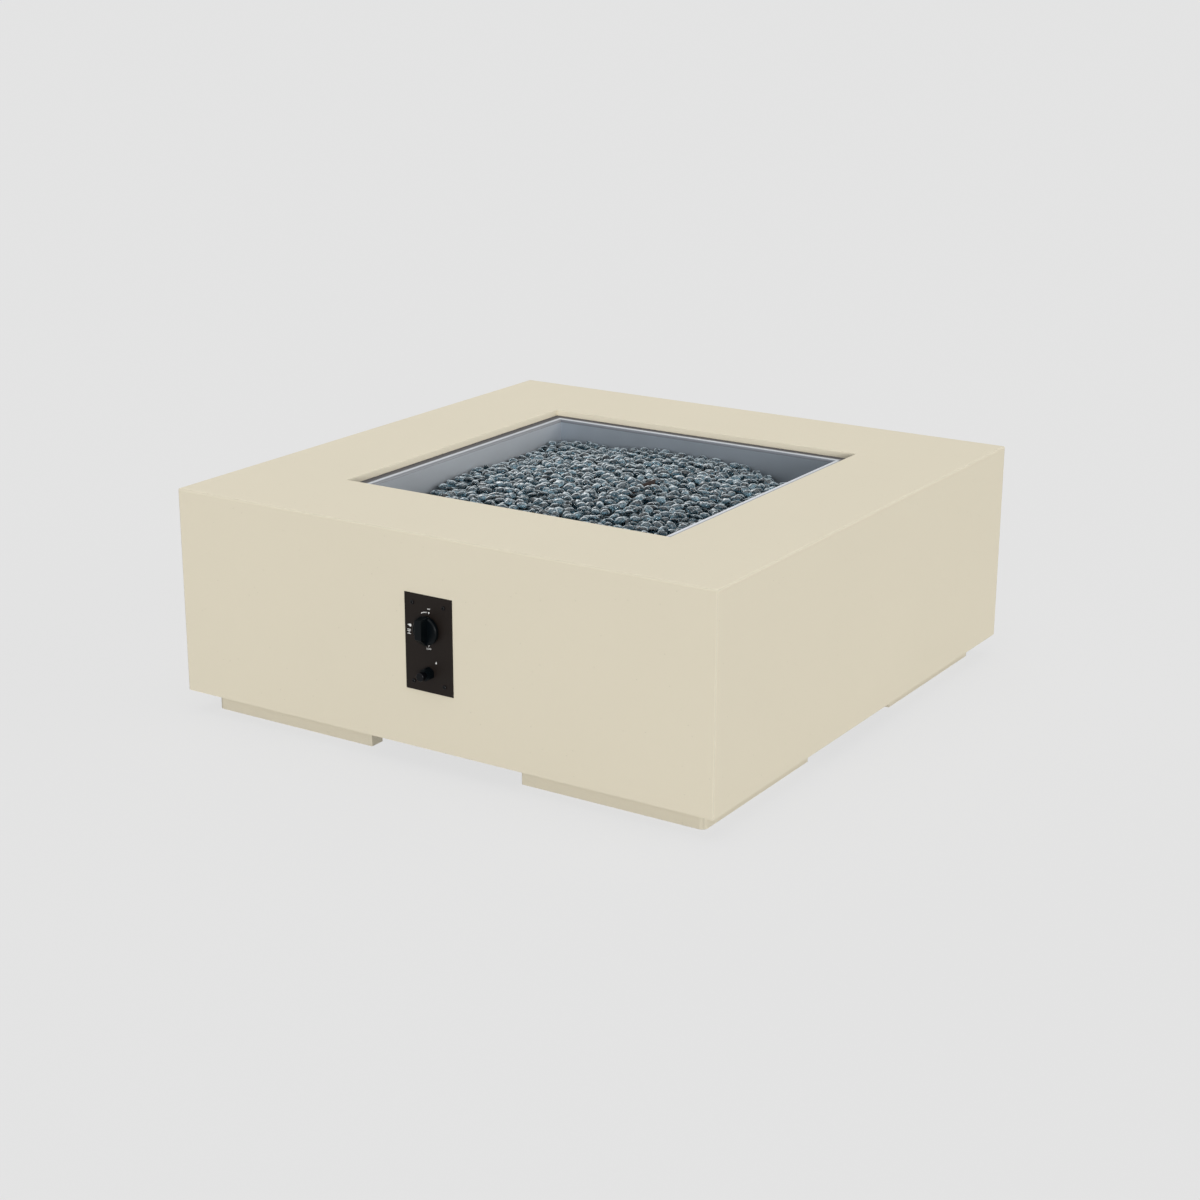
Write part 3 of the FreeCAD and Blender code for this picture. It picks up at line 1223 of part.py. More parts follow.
def control_knob():
    """Black knob: a hollow round skirt and an upright grip bar."""
    skirt = rod_in(KNOB_SKIRT_RADIUS, KNOB_SKIRT_FRONT, KNOB_RIM, 0.0, KNOB_Z)
    rim = edges_where(
        skirt,
        lambda edge, middle: near(middle.y, FRONT_Y + KNOB_SKIRT_FRONT) and len(edge.Vertexes) == 1,
    )
    skirt = skirt.makeChamfer(KNOB_SKIRT_CHAMFER, rim)
    base = grip_outline(
        KNOB_GRIP_BASE, KNOB_GRIP_BASE_WIDTH, KNOB_GRIP_FOOT_WIDTH,
        KNOB_SKIRT_FRONT + KNOB_SKIRT_CHAMFER, 0.0
    )
    face = grip_outline(
        KNOB_GRIP_FRONT, KNOB_GRIP_FRONT_WIDTH, KNOB_GRIP_FRONT_WIDTH, KNOB_FACE, KNOB_GRIP_FRONT_RISE
    )
    grip = Part.makeLoft([base, face], True, True)
    grip_foot = FRONT_Y + KNOB_SKIRT_FRONT + KNOB_SKIRT_CHAMFER
    outer_edges = edges_where(grip, lambda edge, middle: not near(middle.y, grip_foot))
    grip = grip.makeFillet(KNOB_GRIP_ROUND, outer_edges)
    hollow = rod_in(KNOB_SKIRT_RADIUS - KNOB_SHELL, KNOB_SKIRT_FRONT + KNOB_SHELL, KNOB_RIM, 0.0, KNOB_Z)
    hub = rod_in(KNOB_HUB_RADIUS, KNOB_SKIRT_FRONT, KNOB_HUB_BACK, 0.0, KNOB_Z)
    knob = fuse_all([fuse_all([skirt, grip]).cut(hollow), hub])
    return knob.cut(shaft_section(SEAT_GAP, KNOB_HUB_BACK - KNOB_BORE_DEPTH, KNOB_HUB_BACK))


def grip_outline(height, top_width, foot_width, depth, rise):
    """The grip's outline in a plane parallel to the panel, its middle raised above the knob's axis."""
    y = FRONT_Y + depth
    foot, top = KNOB_Z + rise - height / 2, KNOB_Z + rise + height / 2
    corners = []
    for side, z in ((-foot_width, foot), (foot_width, foot), (top_width, top), (-top_width, top)):
        corners.append(Vector(side / 2, y, z))
    return Part.makePolygon(corners + corners[:1])


def safety_disc():
    """Valve disc that shuts off the gas until the thermocouple is hot, with its rod."""
    return fuse_all([
        rod_in(SAFETY_DISC_RADIUS, DISC_FRONT, DISC_BACK, 0.0, KNOB_Z),
        rod_in(PIN_RADIUS, DISC_BACK, DISC_ROD_END, 0.0, KNOB_Z),
    ])


def safety_magnet():
    """Magnet unit that closes the back of the valve and holds the disc open."""
    unit = fuse_all([
        hexagon(MAGNET_HEX, MAGNET_HEX_DEPTH, Vector(0, FRONT_Y + VALVE_BACK, KNOB_Z), Y_AXIS),
        rod_in(MAGNET_BARREL_RADIUS, MAGNET_BACK, MAGNET_END, 0.0, KNOB_Z),
    ])
    return unit.cut(rod_in(PIN_RADIUS + SLIDE_GAP, VALVE_BACK, DISC_ROD_END + SAFETY_ROD_ROOM, 0.0, KNOB_Z))


def lead_nut():
    """Nut that joins the thermocouple lead to the magnet unit."""
    nut = hexagon(LEAD_NUT_HEX, LEAD_NUT_DEPTH, Vector(0, FRONT_Y + MAGNET_END, KNOB_Z), Y_AXIS)
    return nut


def stem_spring():
    """Return spring of the knob, between the clip and the plug."""
    return coil(STEM_SPRING_RADIUS, STEM_SPRING_WIRE, STEM_SPRING_TURNS, CLIP_BACK, PLUG_FRONT, 0.0, KNOB_Z)


def safety_spring():
    """Closing spring of the safety disc."""
    return coil(
        SAFETY_SPRING_RADIUS, SAFETY_SPRING_WIRE, SAFETY_SPRING_TURNS, DISC_BACK, VALVE_BACK, 0.0, KNOB_Z
    )


def igniter_body():
    """Igniter case with a threaded barrel through the panel and a terminal at the back."""
    body = fuse_all([
        rod_in(IGNITER_BARREL_RADIUS, IGNITER_FRONT, 0, 0.0, IGNITER_Z),
        rod_in(IGNITER_SHOULDER_RADIUS, 0, IGNITER_SHOULDER_DEPTH, 0.0, IGNITER_Z),
        rod_in(IGNITER_CASE_RADIUS, IGNITER_SHOULDER_DEPTH, IGNITER_CASE_END, 0.0, IGNITER_Z),
        rod_in(IGNITER_TERMINAL_RADIUS, IGNITER_CASE_END, IGNITER_END, 0.0, IGNITER_Z),
    ])
    bore = rod_in(BUTTON_SHAFT_RADIUS + SLIDE_GAP, IGNITER_FRONT, IGNITER_BORE_DEPTH, 0.0, IGNITER_Z)
    return body.cut(bore)


def igniter_nut():
    """Nut that holds the igniter against the panel."""
    start = PANEL_FRONT - IGNITER_NUT_DEPTH
    nut = hexagon(IGNITER_NUT_HEX, IGNITER_NUT_DEPTH, Vector(0, FRONT_Y + start, IGNITER_Z), Y_AXIS)
    return nut.cut(rod_in(IGNITER_BARREL_RADIUS + SEAT_GAP, start, PANEL_FRONT, 0.0, IGNITER_Z))


def igniter_button():
    """Push button with its shaft."""
    cap = rod_in(BUTTON_RADIUS, BUTTON_FACE, BUTTON_BACK, 0.0, IGNITER_Z)
    face_edge = edges_where(
        cap, lambda edge, middle: near(middle.y, FRONT_Y + BUTTON_FACE) and len(edge.Vertexes) == 1
    )
    cap = cap.makeFillet(BUTTON_EDGE_RADIUS, face_edge)
    shaft = rod_in(BUTTON_SHAFT_RADIUS, BUTTON_BACK, BUTTON_SHAFT_DEPTH, 0.0, IGNITER_Z)
    return fuse_all([cap, shaft])


def igniter_spring():
    """Return spring of the push button."""
    return coil(
        IGNITER_SPRING_RADIUS, IGNITER_SPRING_WIRE, IGNITER_SPRING_TURNS,
        BUTTON_SHAFT_DEPTH, IGNITER_BORE_DEPTH, 0.0, IGNITER_Z,
    )


def all_parts():
    """Every piece by its node name."""
    parts = {"concrete_shell": concrete_shell()}
    for place, foot in feet().items():
        parts["foot_" + place] = foot
    parts.update({
        "foot_bolts": foot_bolts(),
        "foot_washers": foot_washers(),
        "foot_inserts": foot_inserts(),
        "pan_gasket": pan_gasket(),
        "burner_pan": burner_pan(),
        "burner": burner(),
        "burner_stands": burner_stands(),
        "burner_locknuts": burner_locknuts(),
        "air_mixer": air_mixer(),
        "orifice_fitting": orifice_fitting(),
        "flex_hose": flex_hose(),
        "hose_nuts": hose_nuts(),
        "pilot_hood": pilot_hood(),
        "pilot_screws": pilot_screws(),
        "pilot_bracket": pilot_bracket(),
        "electrode_insulator": electrode_insulator(),
        "electrode_rod": electrode_rod(),
        "thermocouple": thermocouple(),
        "thermocouple_nut": thermocouple_nut(),
        "ignition_lead": ignition_lead(),
        "thermocouple_lead": thermocouple_lead(),
        "fire_glass": fire_glass(),
        "control_panel": control_panel(),
        "panel_screws": panel_screws(),
        "panel_back_plate": panel_back_plate(),
        "panel_nuts": panel_nuts(),
        "gas_valve_body": gas_valve_body(),
        "valve_bonnet": valve_bonnet(),
        "valve_screws": valve_screws(),
        "gas_inlet_fitting": gas_fitting(-1, INLET_DEPTH),
        "gas_outlet_fitting": gas_fitting(1, PORT_DEPTH),
        "valve_plug": valve_plug(),
        "valve_stem": valve_stem(),
        "stem_clip": stem_clip(),
        "stem_spring": stem_spring(),
        "control_knob": control_knob(),
        "safety_disc": safety_disc(),
        "safety_spring": safety_spring(),
        "safety_magnet": safety_magnet(),
        "lead_nut": lead_nut(),
        "igniter_body": igniter_body(),
        "igniter_nut": igniter_nut(),
        "igniter_button": igniter_button(),
        "igniter_spring": igniter_spring(),
    })
    return parts


def main():
    """Builds every piece, centres the object and writes one file per piece."""
    os.makedirs("parts", exist_ok=True)
    for name, shape in all_parts().items():
        shape.translate(Vector(0, CENTRE_SHIFT, 0))
        if not shape.isValid():
            print("not valid:", name)
        print(name, "solids", len(shape.Solids), "volume", round(shape.Volume, 1))
        shape.exportStep("parts/" + name + ".step")


main()
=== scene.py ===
"""Gas fire pit table: finishes, fine pieces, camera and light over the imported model."""

import json
import logging
import math
from collections.abc import Callable, Iterator, Sequence
from contextlib import contextmanager
from dataclasses import dataclass, field
from enum import Enum
from typing import Protocol

import bmesh
import bpy
import numpy as np
from mathutils import Matrix, Vector


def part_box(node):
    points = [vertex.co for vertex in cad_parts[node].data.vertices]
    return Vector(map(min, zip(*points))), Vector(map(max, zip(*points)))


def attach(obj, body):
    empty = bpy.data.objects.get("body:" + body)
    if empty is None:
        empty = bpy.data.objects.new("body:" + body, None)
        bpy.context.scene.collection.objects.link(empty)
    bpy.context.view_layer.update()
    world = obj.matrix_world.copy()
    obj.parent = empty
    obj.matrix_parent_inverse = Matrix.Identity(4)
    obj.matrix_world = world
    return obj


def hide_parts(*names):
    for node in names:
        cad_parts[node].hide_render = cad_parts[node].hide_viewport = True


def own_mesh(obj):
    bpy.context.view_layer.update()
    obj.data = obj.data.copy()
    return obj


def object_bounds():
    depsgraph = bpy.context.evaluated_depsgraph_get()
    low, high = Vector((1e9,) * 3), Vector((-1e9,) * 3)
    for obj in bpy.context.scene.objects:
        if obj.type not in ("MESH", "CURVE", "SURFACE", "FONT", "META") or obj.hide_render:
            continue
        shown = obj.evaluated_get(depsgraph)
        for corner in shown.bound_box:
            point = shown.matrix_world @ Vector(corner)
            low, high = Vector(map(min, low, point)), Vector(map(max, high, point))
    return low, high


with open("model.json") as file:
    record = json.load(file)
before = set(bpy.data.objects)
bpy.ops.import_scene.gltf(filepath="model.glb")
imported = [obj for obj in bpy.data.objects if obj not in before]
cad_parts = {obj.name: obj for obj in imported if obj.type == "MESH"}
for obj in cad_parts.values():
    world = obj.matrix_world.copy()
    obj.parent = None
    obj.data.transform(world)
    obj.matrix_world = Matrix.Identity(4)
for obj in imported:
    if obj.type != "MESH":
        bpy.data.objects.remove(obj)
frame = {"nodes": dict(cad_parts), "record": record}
CAD_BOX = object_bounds()

LOG = logging.getLogger("fire_pit_table")
MM = 0.001
HALF_SIDE = 0.5334
QUARTER_TURN = math.radians(90)
NOWHERE = -1e9

Colour = tuple[float, float, float]
Point = tuple[float, float, float]
Form = tuple[np.ndarray, list[list[int]]]
Input = "Wire | float | Sequence[float]"


def table_point(x: float, y: float, z: float) -> Vector:
    """Turns a place in millimetres from the middle of the table into the frame's metres.

    Args:
        x: Millimetres to the right of the middle.
        y: Millimetres behind the middle.
        z: Millimetres above the ground.

    Returns:
        The place in the frame, whose origin lies a little in front of the table's middle.
    """
    knob_overhang = CAD_BOX[1][1] - HALF_SIDE
    return Vector((x * MM, y * MM + knob_overhang, z * MM))


MIDDLE = table_point(0, 0, 0)


class Slot(Enum):
    """The material slots of the record."""

    CONCRETE = "concrete"
    STAINLESS = "stainless"
    ZINC_STEEL = "zinc_steel"
    SPRING_STEEL = "spring_steel"
    GASKET_TAPE = "gasket_tape"
    BRASS = "brass"
    COPPER = "copper"
    CAST_ALUMINIUM = "cast_aluminium"
    PANEL_PAINT = "panel_paint"
    HOOD_STEEL = "hood_steel"
    BLACK_STEEL = "black_steel"
    KNOB_PLASTIC = "knob_plastic"
    BUTTON_PLASTIC = "button_plastic"
    CERAMIC = "ceramic"
    LEAD_SLEEVE = "lead_sleeve"
    FIRE_GLASS = "fire_glass"


# Shader graphs


class Wire:
    """A socket of a node tree that can be used in sums, as a number can."""

    def __init__(self, graph: "Graph", socket: bpy.types.NodeSocket) -> None:
        """Keeps the socket and the graph that it belongs to."""
        self.graph = graph
        self.socket = socket

    def __add__(self, other: Input) -> "Wire":
        """Sum."""
        return self.graph.math("ADD", self, other)

    def __radd__(self, other: Input) -> "Wire":
        """Sum, with the number first."""
        return self.graph.math("ADD", other, self)

    def __sub__(self, other: Input) -> "Wire":
        """Difference."""
        return self.graph.math("SUBTRACT", self, other)

    def __rsub__(self, other: Input) -> "Wire":
        """Difference, with the number first."""
        return self.graph.math("SUBTRACT", other, self)

    def __mul__(self, other: Input) -> "Wire":
        """Product."""
        return self.graph.math("MULTIPLY", self, other)

    def __rmul__(self, other: Input) -> "Wire":
        """Product, with the number first."""
        return self.graph.math("MULTIPLY", other, self)

    def __truediv__(self, other: Input) -> "Wire":
        """Quotient."""
        return self.graph.math("DIVIDE", self, other)

    def __gt__(self, other: Input) -> "Wire":
        """1 where this is the larger value, otherwise 0."""
        return self.graph.math("GREATER_THAN", self, other)

    def __lt__(self, other: Input) -> "Wire":
        """1 where this is the smaller value, otherwise 0."""
        return self.graph.math("LESS_THAN", self, other)

    def __abs__(self) -> "Wire":
        """Size without its sign."""
        return self.graph.math("ABSOLUTE", self)


class Graph:
    """The node tree of a material or of the world."""

    def __init__(self, owner: bpy.types.Material | bpy.types.World) -> None:
        """Empties the owner's node tree.

        Args:
            owner: The material or world whose tree is used.
        """
        self.owner = owner
        owner.use_nodes = True
        self.tree = owner.node_tree
        self.tree.nodes.clear()

    @classmethod
    def of_material(cls, name: str) -> "Graph":
        """Starts a new material of that name."""
        return cls(bpy.data.materials.new(name))

    def node(
        self,
        kind: str,
        settings: dict[str, object] | None = None,
        sockets: dict[str | int, Input] | None = None,
        output: str | int = 0,
    ) -> Wire:
        """Adds a node.

        Args:
            kind: The node's type.
            settings: Its own settings. "stops" are the places and colours of a ramp.
            sockets: Values or links of its inputs.
            output: The output that is handed back.

        Returns:
            That output.
        """
        made = self.tree.nodes.new(kind)
        for key, value in (settings or {}).items():
            if key == "stops":
                self._set_stops(made.color_ramp, value)
            else:
                setattr(made, key, value)
        for key, value in (sockets or {}).items():
            self.feed(made.inputs[key], value)
        return Wire(self, made.outputs[output] if made.outputs else None)

    @staticmethod
    def _set_stops(ramp: bpy.types.ColorRamp, stops: Sequence[tuple[float, Colour]]) -> None:
        """Gives a ramp its stops.

        Args:
            ramp: The ramp.
            stops: The place and colour of each stop.
        """
        while len(ramp.elements) < len(stops):
            ramp.elements.new(1.0)
        for element, (place, colour) in zip(ramp.elements, stops):
            element.position = place
            element.color = (*colour, 1.0)

    def feed(self, socket: bpy.types.NodeSocket, value: Input) -> None:
        """Links a wire to a socket, or sets the socket's own value.

        Args:
            socket: The input.
            value: A wire, a number, or the parts of a colour or vector.
        """
        if isinstance(value, Wire):
            self.tree.links.new(value.socket, socket)
        elif isinstance(value, (int, float)):
            socket.default_value = value
        else:
            spare = len(socket.default_value) - len(value)
            socket.default_value = tuple(value) + (1.0,) * spare

    def math(self, operation: str, *values: Input) -> Wire:
        """A Math node on one or two values."""
        return self.node("ShaderNodeMath", {"operation": operation}, dict(enumerate(values)))

    def clamp(self, value: Wire) -> Wire:
        """The value kept between 0 and 1."""
        return self.node("ShaderNodeClamp", None, {"Value": value})

    def place(self) -> Wire:
        """The point on the surface, in the object's own coordinates."""
        return self.node("ShaderNodeTexCoord", None, None, "Object")

    def facing(self) -> Wire:
        """The direction that the surface faces, in the object's own coordinates."""
        return self.node("ShaderNodeTexCoord", None, None, "Normal")

    def along(self, vector: Wire, axis: str) -> Wire:
        """One part, X, Y or Z, of a vector."""
        return self.node("ShaderNodeSeparateXYZ", None, {0: vector}, axis)

    def mapped(self, **changes: Sequence[float]) -> Wire:
        """The object's coordinates, moved or scaled for a pattern."""
        return self.node("ShaderNodeMapping", None, {"Vector": self.place(), **changes})

    def noise(
        self, scale: float, detail: float = 3.0, roughness: float = 0.55, vector: Wire | None = None
    ) -> Wire:
        """Soft noise between 0 and 1.

        Args:
            scale: Waves to a metre.
            detail: How many finer layers are added.
            roughness: How strong the finer layers are.
            vector: The place that is read, or the object's own.

        Returns:
            The noise.
        """
        return self.node(
            "ShaderNodeTexNoise",
            None,
            {
                "Vector": vector or self.place(),
                "Scale": scale,
                "Detail": detail,
                "Roughness": roughness,
            },
        )

    def cells(self, scale: float) -> Wire:
        """The distance to the nearest of many scattered points."""
        return self.node("ShaderNodeTexVoronoi", None, {"Vector": self.place(), "Scale": scale})

    def mix(self, share: Input, first: Input, second: Input) -> Wire:
        """A colour between two colours."""
        sockets = {0: share, 6: first, 7: second}
        return self.node("ShaderNodeMix", {"data_type": "RGBA"}, sockets, 2)

    def ramp(self, value: Wire, *stops: tuple[float, Colour]) -> Wire:
        """A colour ramp along a value."""
        return self.node("ShaderNodeValToRGB", {"stops": stops}, {"Fac": value})

    def bump(self, height: Wire, depth: float, under: Wire | None = None) -> Wire:
        """A normal that is tilted by a height.

        Args:
            height: The height, from 0 to 1.
            depth: How deep a height of 1 is, in metres.
            under: A normal that this one is laid over.

        Returns:
            The normal.
        """
        sockets: dict[str | int, Input] = {"Strength": 1.0, "Distance": depth, "Height": height}
        if under is not None:
            sockets["Normal"] = under
        return self.node("ShaderNodeBump", None, sockets)

    def principled(self, **sockets: Input) -> Wire:
        """The main shader, with an underscore for each space in its sockets' names."""
        named = {key.replace("_", " "): value for key, value in sockets.items()}
        return self.node("ShaderNodeBsdfPrincipled", None, named)

    def mix_shaders(self, share: Input, first: Wire, second: Wire) -> Wire:
        """A shader between two shaders."""
        return self.node("ShaderNodeMixShader", None, {0: share, 1: first, 2: second})

    def close(self, shader: Wire) -> bpy.types.Material | bpy.types.World:
        """Ends the graph with its last shader.

        Args:
            shader: The shader that is shown.

        Returns:
            The owner of the graph.
        """
        kind = "World" if isinstance(self.owner, bpy.types.World) else "Material"
        self.node(f"ShaderNodeOutput{kind}", None, {"Surface": shader})
        return self.owner

    def surface(self, **sockets: Input) -> bpy.types.Material:
        """Ends the graph with the main shader, which takes the named sockets."""
        return self.close(self.principled(**sockets))


# Finishes


class Finish(Protocol):
    """Anything that can make its own material."""

    def material(self) -> bpy.types.Material:
        """The finished material."""


def shaded(colour: Colour, share: float) -> Colour:
    """The colour, made lighter or darker."""
    return tuple(min(1.0, part * share) for part in colour)


@dataclass(frozen=True)
class CastConcrete:
    """Fine cream concrete from a smooth mould, with a matt seal, and painted shade on its rounded
    edges and in its pores.
    """

    colour: Colour = (0.722, 0.664, 0.525)
    cloud_scale: float = 3.2
    cloud_shades: tuple[float, float] = (0.975, 1.02)
    grain_scale: float = 700.0
    grain_share: float = 0.16
    grain_shade: float = 0.86
    grain_depth: float = 0.00006
    pore_scale: float = 55.0
    pore_size: float = 0.055
    pore_share: float = 0.22
    pore_shade: float = 0.55
    pore_depth: float = 0.0002
    edge_from: float = 0.985
    edge_rise: float = 4.0
    edge_share: float = 0.2
    edge_shade: float = 0.15
    roughness: float = 0.82
    roughness_spread: float = 0.1
    gloss: float = 0.35

    def material(self) -> bpy.types.Material:
        """Faint clouds, fine sand grain, and painted shade in a few small air pores and on the
        rounded edges.

        Returns:
            The finished material.
        """
        graph = Graph.of_material("cast_concrete")
        clouds = graph.noise(self.cloud_scale, detail=4.0)
        grain = graph.noise(self.grain_scale, detail=2.0, roughness=0.7)
        pores = graph.cells(self.pore_scale) < self.pore_size
        darker, lighter = (shaded(self.colour, shade) for shade in self.cloud_shades)
        colour = graph.mix(clouds, darker, lighter)
        across, along, up = (abs(graph.along(graph.facing(), axis)) for axis in "XYZ")
        squarest = graph.math("MAXIMUM", graph.math("MAXIMUM", across, along), up)
        # Painted shade: faces that slant, on the rounded edges, are painted darker.
        edges = graph.clamp((self.edge_from - squarest) * self.edge_rise)
        # The sand grain is a real tone; the darker pores and edges are painted shade.
        for mask, share, shade in (
            (grain, self.grain_share, self.grain_shade),
            (pores, self.pore_share, self.pore_shade),
            (edges, self.edge_share, self.edge_shade),
        ):
            colour = graph.mix(mask * share, colour, shaded(self.colour, shade))
        fine = graph.bump(grain, self.grain_depth)
        return graph.surface(
            Base_Color=colour,
            Roughness=self.roughness + clouds * self.roughness_spread,
            Specular_IOR_Level=self.gloss,
            Normal=graph.bump(1.0 - pores, self.pore_depth, fine),
        )


@dataclass(frozen=True)
class BrushedSheet:
    """Stainless sheet with a brushed grain that runs level along each wall."""

    colour: Colour = (0.52, 0.55, 0.58)
    grain_scale: float = 900.0
    streak_scale: float = 2.0
    grain_shades: tuple[float, float] = (0.88, 1.1)
    grain_depth: float = 0.00002
    band_scale: float = 9.0
    band_share: float = 0.25
    band_shade: float = 0.8
    roughness: float = 0.34
    roughness_spread: float = 0.12

    def material(self) -> bpy.types.Material:
        """Streaks along the sheet, with a few broader bands in them.

        Returns:
            The finished material.
        """
        graph = Graph.of_material("brushed_stainless")
        across = abs(graph.along(graph.facing(), "X")) > 0.5
        flat, fine = self.streak_scale, self.grain_scale
        along_x, along_y = (
            graph.noise(1.0, detail=3.0, roughness=0.6, vector=graph.mapped(Scale=scale))
            for scale in ((flat, fine, fine), (fine, flat, fine))
        )
        streaks = graph.mix(across, along_x, along_y)
        darker, lighter = (shaded(self.colour, shade) for shade in self.grain_shades)
        brushed = graph.mix(streaks, darker, lighter)
        bands = graph.noise(self.band_scale, detail=2.0) * self.band_share
        grain = graph.along(streaks, "X")
        return graph.surface(
            Base_Color=graph.mix(bands, brushed, shaded(self.colour, self.band_shade)),
            Metallic=1.0,
            Roughness=self.roughness + grain * self.roughness_spread,
            Normal=graph.bump(grain, self.grain_depth),
        )


@dataclass(frozen=True)
class PanSheet:
    """The burner pan's stainless sheet, with painted shade where the flange meets its seal.

    The two walls that face front and back are painted darker, a painted shade.
    Reaches are metres from the table's middle. A lift is how far a face looks up, from 0 to 1.
    """

    colour: Colour = (0.57, 0.60, 0.63)
    # Painted shade for the walls that face front and back.
    shaded_wall_colour: Colour = (0.36, 0.405, 0.455)
    # Painted highlight on the right side's bend and flange.
    bright: Colour = (0.60, 0.62, 0.65)
    # A near-black for the sheet's dull tone and for its painted shade.
    dark_tone_and_shade: Colour = (0.045, 0.04, 0.045)
    grain_scale: float = 1500.0
    cloud_scale: float = 14.0
    dull_share: float = 0.12
    flange_shade_from: float = 0.3055
    flange_shade_to: float = 0.3100
    flange_shade_wander: float = 0.3
    flange_shade_share: float = 0.93
    flange_lift: float = 0.7
    bend_rise: float = 6.0
    bend_top: float = 0.97
    bend_fall: float = 8.0
    bend_shade_share: float = 0.58
    highlight_side_from: float = 0.28
    highlight_side_reach: float = 0.2975
    highlight_side_shift: float = 0.0025
    highlight_side_lift: float = 0.3
    metallic: float = 0.85
    roughness: float = 0.5
    roughness_spread: float = 0.12
    grain_depth: float = 0.00003

    def material(self) -> bpy.types.Material:
        """A fine even grain, painted shade on the bend and on the flange's outer edge, and a
        painted highlight on the right side.

        Returns:
            The finished material.
        """
        graph = Graph.of_material("pan_sheet")
        place = graph.mapped(Location=tuple(-MIDDLE))
        side, depth = (graph.along(place, axis) for axis in "XY")
        reach = graph.math("MAXIMUM", abs(side), abs(depth))
        grain = graph.noise(self.grain_scale, detail=3.0, roughness=0.7)
        clouds = graph.noise(self.cloud_scale, detail=3.0)
        lift = graph.along(graph.facing(), "Z")
        # Painted shade: walls that face front and back take the darker colour.
        shaded_wall = abs(graph.along(graph.facing(), "Y")) > 0.5
        sheet = graph.mix(shaded_wall, self.colour, self.shaded_wall_colour)
        for dulled in (clouds, grain):
            sheet = graph.mix(dulled * self.dull_share, sheet, self.dark_tone_and_shade)
        # Painted highlight: the right side's up-facing bend and flange are painted bright and get
        # no painted shade on the bend.
        highlight_side = (side > self.highlight_side_from) * (abs(depth) < self.highlight_side_reach)
        # Painted shade on the bend, where the faces slant upwards.
        rise = graph.clamp(lift * self.bend_rise)
        fall = graph.clamp((self.bend_top - lift) * self.bend_fall)
        sheet = graph.mix(rise * fall * (1 - highlight_side) * self.bend_shade_share, sheet, self.dark_tone_and_shade)
        sheet = graph.mix(highlight_side * (lift > self.highlight_side_lift), sheet, self.bright)
        # Painted shade on the flange's top next to the concrete; it starts a little further out on
        # the right side.
        past = reach - highlight_side * self.highlight_side_shift - self.flange_shade_from
        spread = past / (self.flange_shade_to - self.flange_shade_from)
        dark_tone_and_shade = graph.clamp(spread + (clouds - 0.5) * self.flange_shade_wander) * (lift > self.flange_lift)
        return graph.surface(
            Base_Color=graph.mix(dark_tone_and_shade * self.flange_shade_share, sheet, self.dark_tone_and_shade),
            Metallic=self.metallic,
            Roughness=self.roughness + grain * self.roughness_spread,
            Normal=graph.bump(grain, self.grain_depth),
        )


@dataclass(frozen=True)
class BareMetal:
    """A plain metal with its tarnish and the marks of how it was made."""

    name: str
    colour: Colour
    tarnish: Colour
    roughness: float = 0.3
    mark_scale: float = 260.0
    mark_depth: float = 0.00003
    mark_share: float = 0.3
    mark_shade: float = 0.72
    tarnish_scale: float = 45.0
    tarnish_share: float = 0.35
    spot_scale: float = 0.6
    tarnish_roughness: float = 0.16
    spot_roughness: float = 0.05

    def material(self) -> bpy.types.Material:
        """Tarnish in soft clouds over fine marks.

        Returns:
            The finished material.
        """
        graph = Graph.of_material(self.name)
        clouds = graph.noise(self.tarnish_scale, detail=4.0, roughness=0.6)
        marks = graph.noise(self.mark_scale, detail=3.0, roughness=0.65)
        spots = graph.cells(self.mark_scale * self.spot_scale)
        worn = graph.mix(clouds * self.tarnish_share, self.colour, self.tarnish)
        marked = shaded(self.colour, self.mark_shade)
        dulled = clouds * self.tarnish_roughness + spots * self.spot_roughness
        return graph.surface(
            Base_Color=graph.mix(marks * self.mark_share, worn, marked),
            Metallic=1.0,
            Roughness=self.roughness + dulled,
            Normal=graph.bump(marks, self.mark_depth),
        )


@dataclass(frozen=True)
class PowderCoat:
    """Satin powder coat on sheet steel."""

    name: str
    colour: Colour
    roughness: float = 0.42
    peel_scale: float = 520.0
    peel_depth: float = 0.00004
    gloss: float = 0.5
    warm: Colour = (0.05, 0.035, 0.03)
    warm_share: float = 0.0
    warm_scale: float = 24.0
    peel_share: float = 0.25
    peel_shade: float = 1.35
    roughness_spread: float = 0.1

    def material(self) -> bpy.types.Material:
        """The coat's fine orange peel, and soft heat stains where they are asked for.

        Returns:
            The finished material.
        """
        graph = Graph.of_material(self.name)
        peel = graph.noise(self.peel_scale, detail=2.0, roughness=0.5)
        clouds = graph.noise(self.warm_scale, detail=3.0)
        stained = graph.mix(clouds * self.warm_share, self.colour, self.warm)
        lighter = shaded(self.colour, self.peel_shade)
        return graph.surface(
            Base_Color=graph.mix(peel * self.peel_share, stained, lighter),
            Roughness=self.roughness + peel * self.roughness_spread,
            Specular_IOR_Level=self.gloss,
            Normal=graph.bump(peel, self.peel_depth),
        )


@dataclass(frozen=True)
class Moulding:
    """A moulded or glazed piece with an even colour."""

    name: str
    colour: Colour
    roughness: float
    texture_scale: float = 900.0
    texture_depth: float = 0.00002
    coat: float = 0.0
    gloss: float = 0.5
    handled_scale: float = 60.0
    handled_share: float = 0.3
    handled_shade: float = 1.4
    roughness_spread: float = 0.12

    def material(self) -> bpy.types.Material:
        """The fine texture that the mould leaves, a little worn by hands.

        Returns:
            The finished material.
        """
        graph = Graph.of_material(self.name)
        texture = graph.noise(self.texture_scale, detail=2.0, roughness=0.6)
        handled = graph.noise(self.handled_scale, detail=3.0)
        lighter = shaded(self.colour, self.handled_shade)
        return graph.surface(
            Base_Color=graph.mix(handled * self.handled_share, self.colour, lighter),
            Roughness=self.roughness + handled * self.roughness_spread,
            Coat_Weight=self.coat,
            Specular_IOR_Level=self.gloss,
            Normal=graph.bump(texture, self.texture_depth),
        )


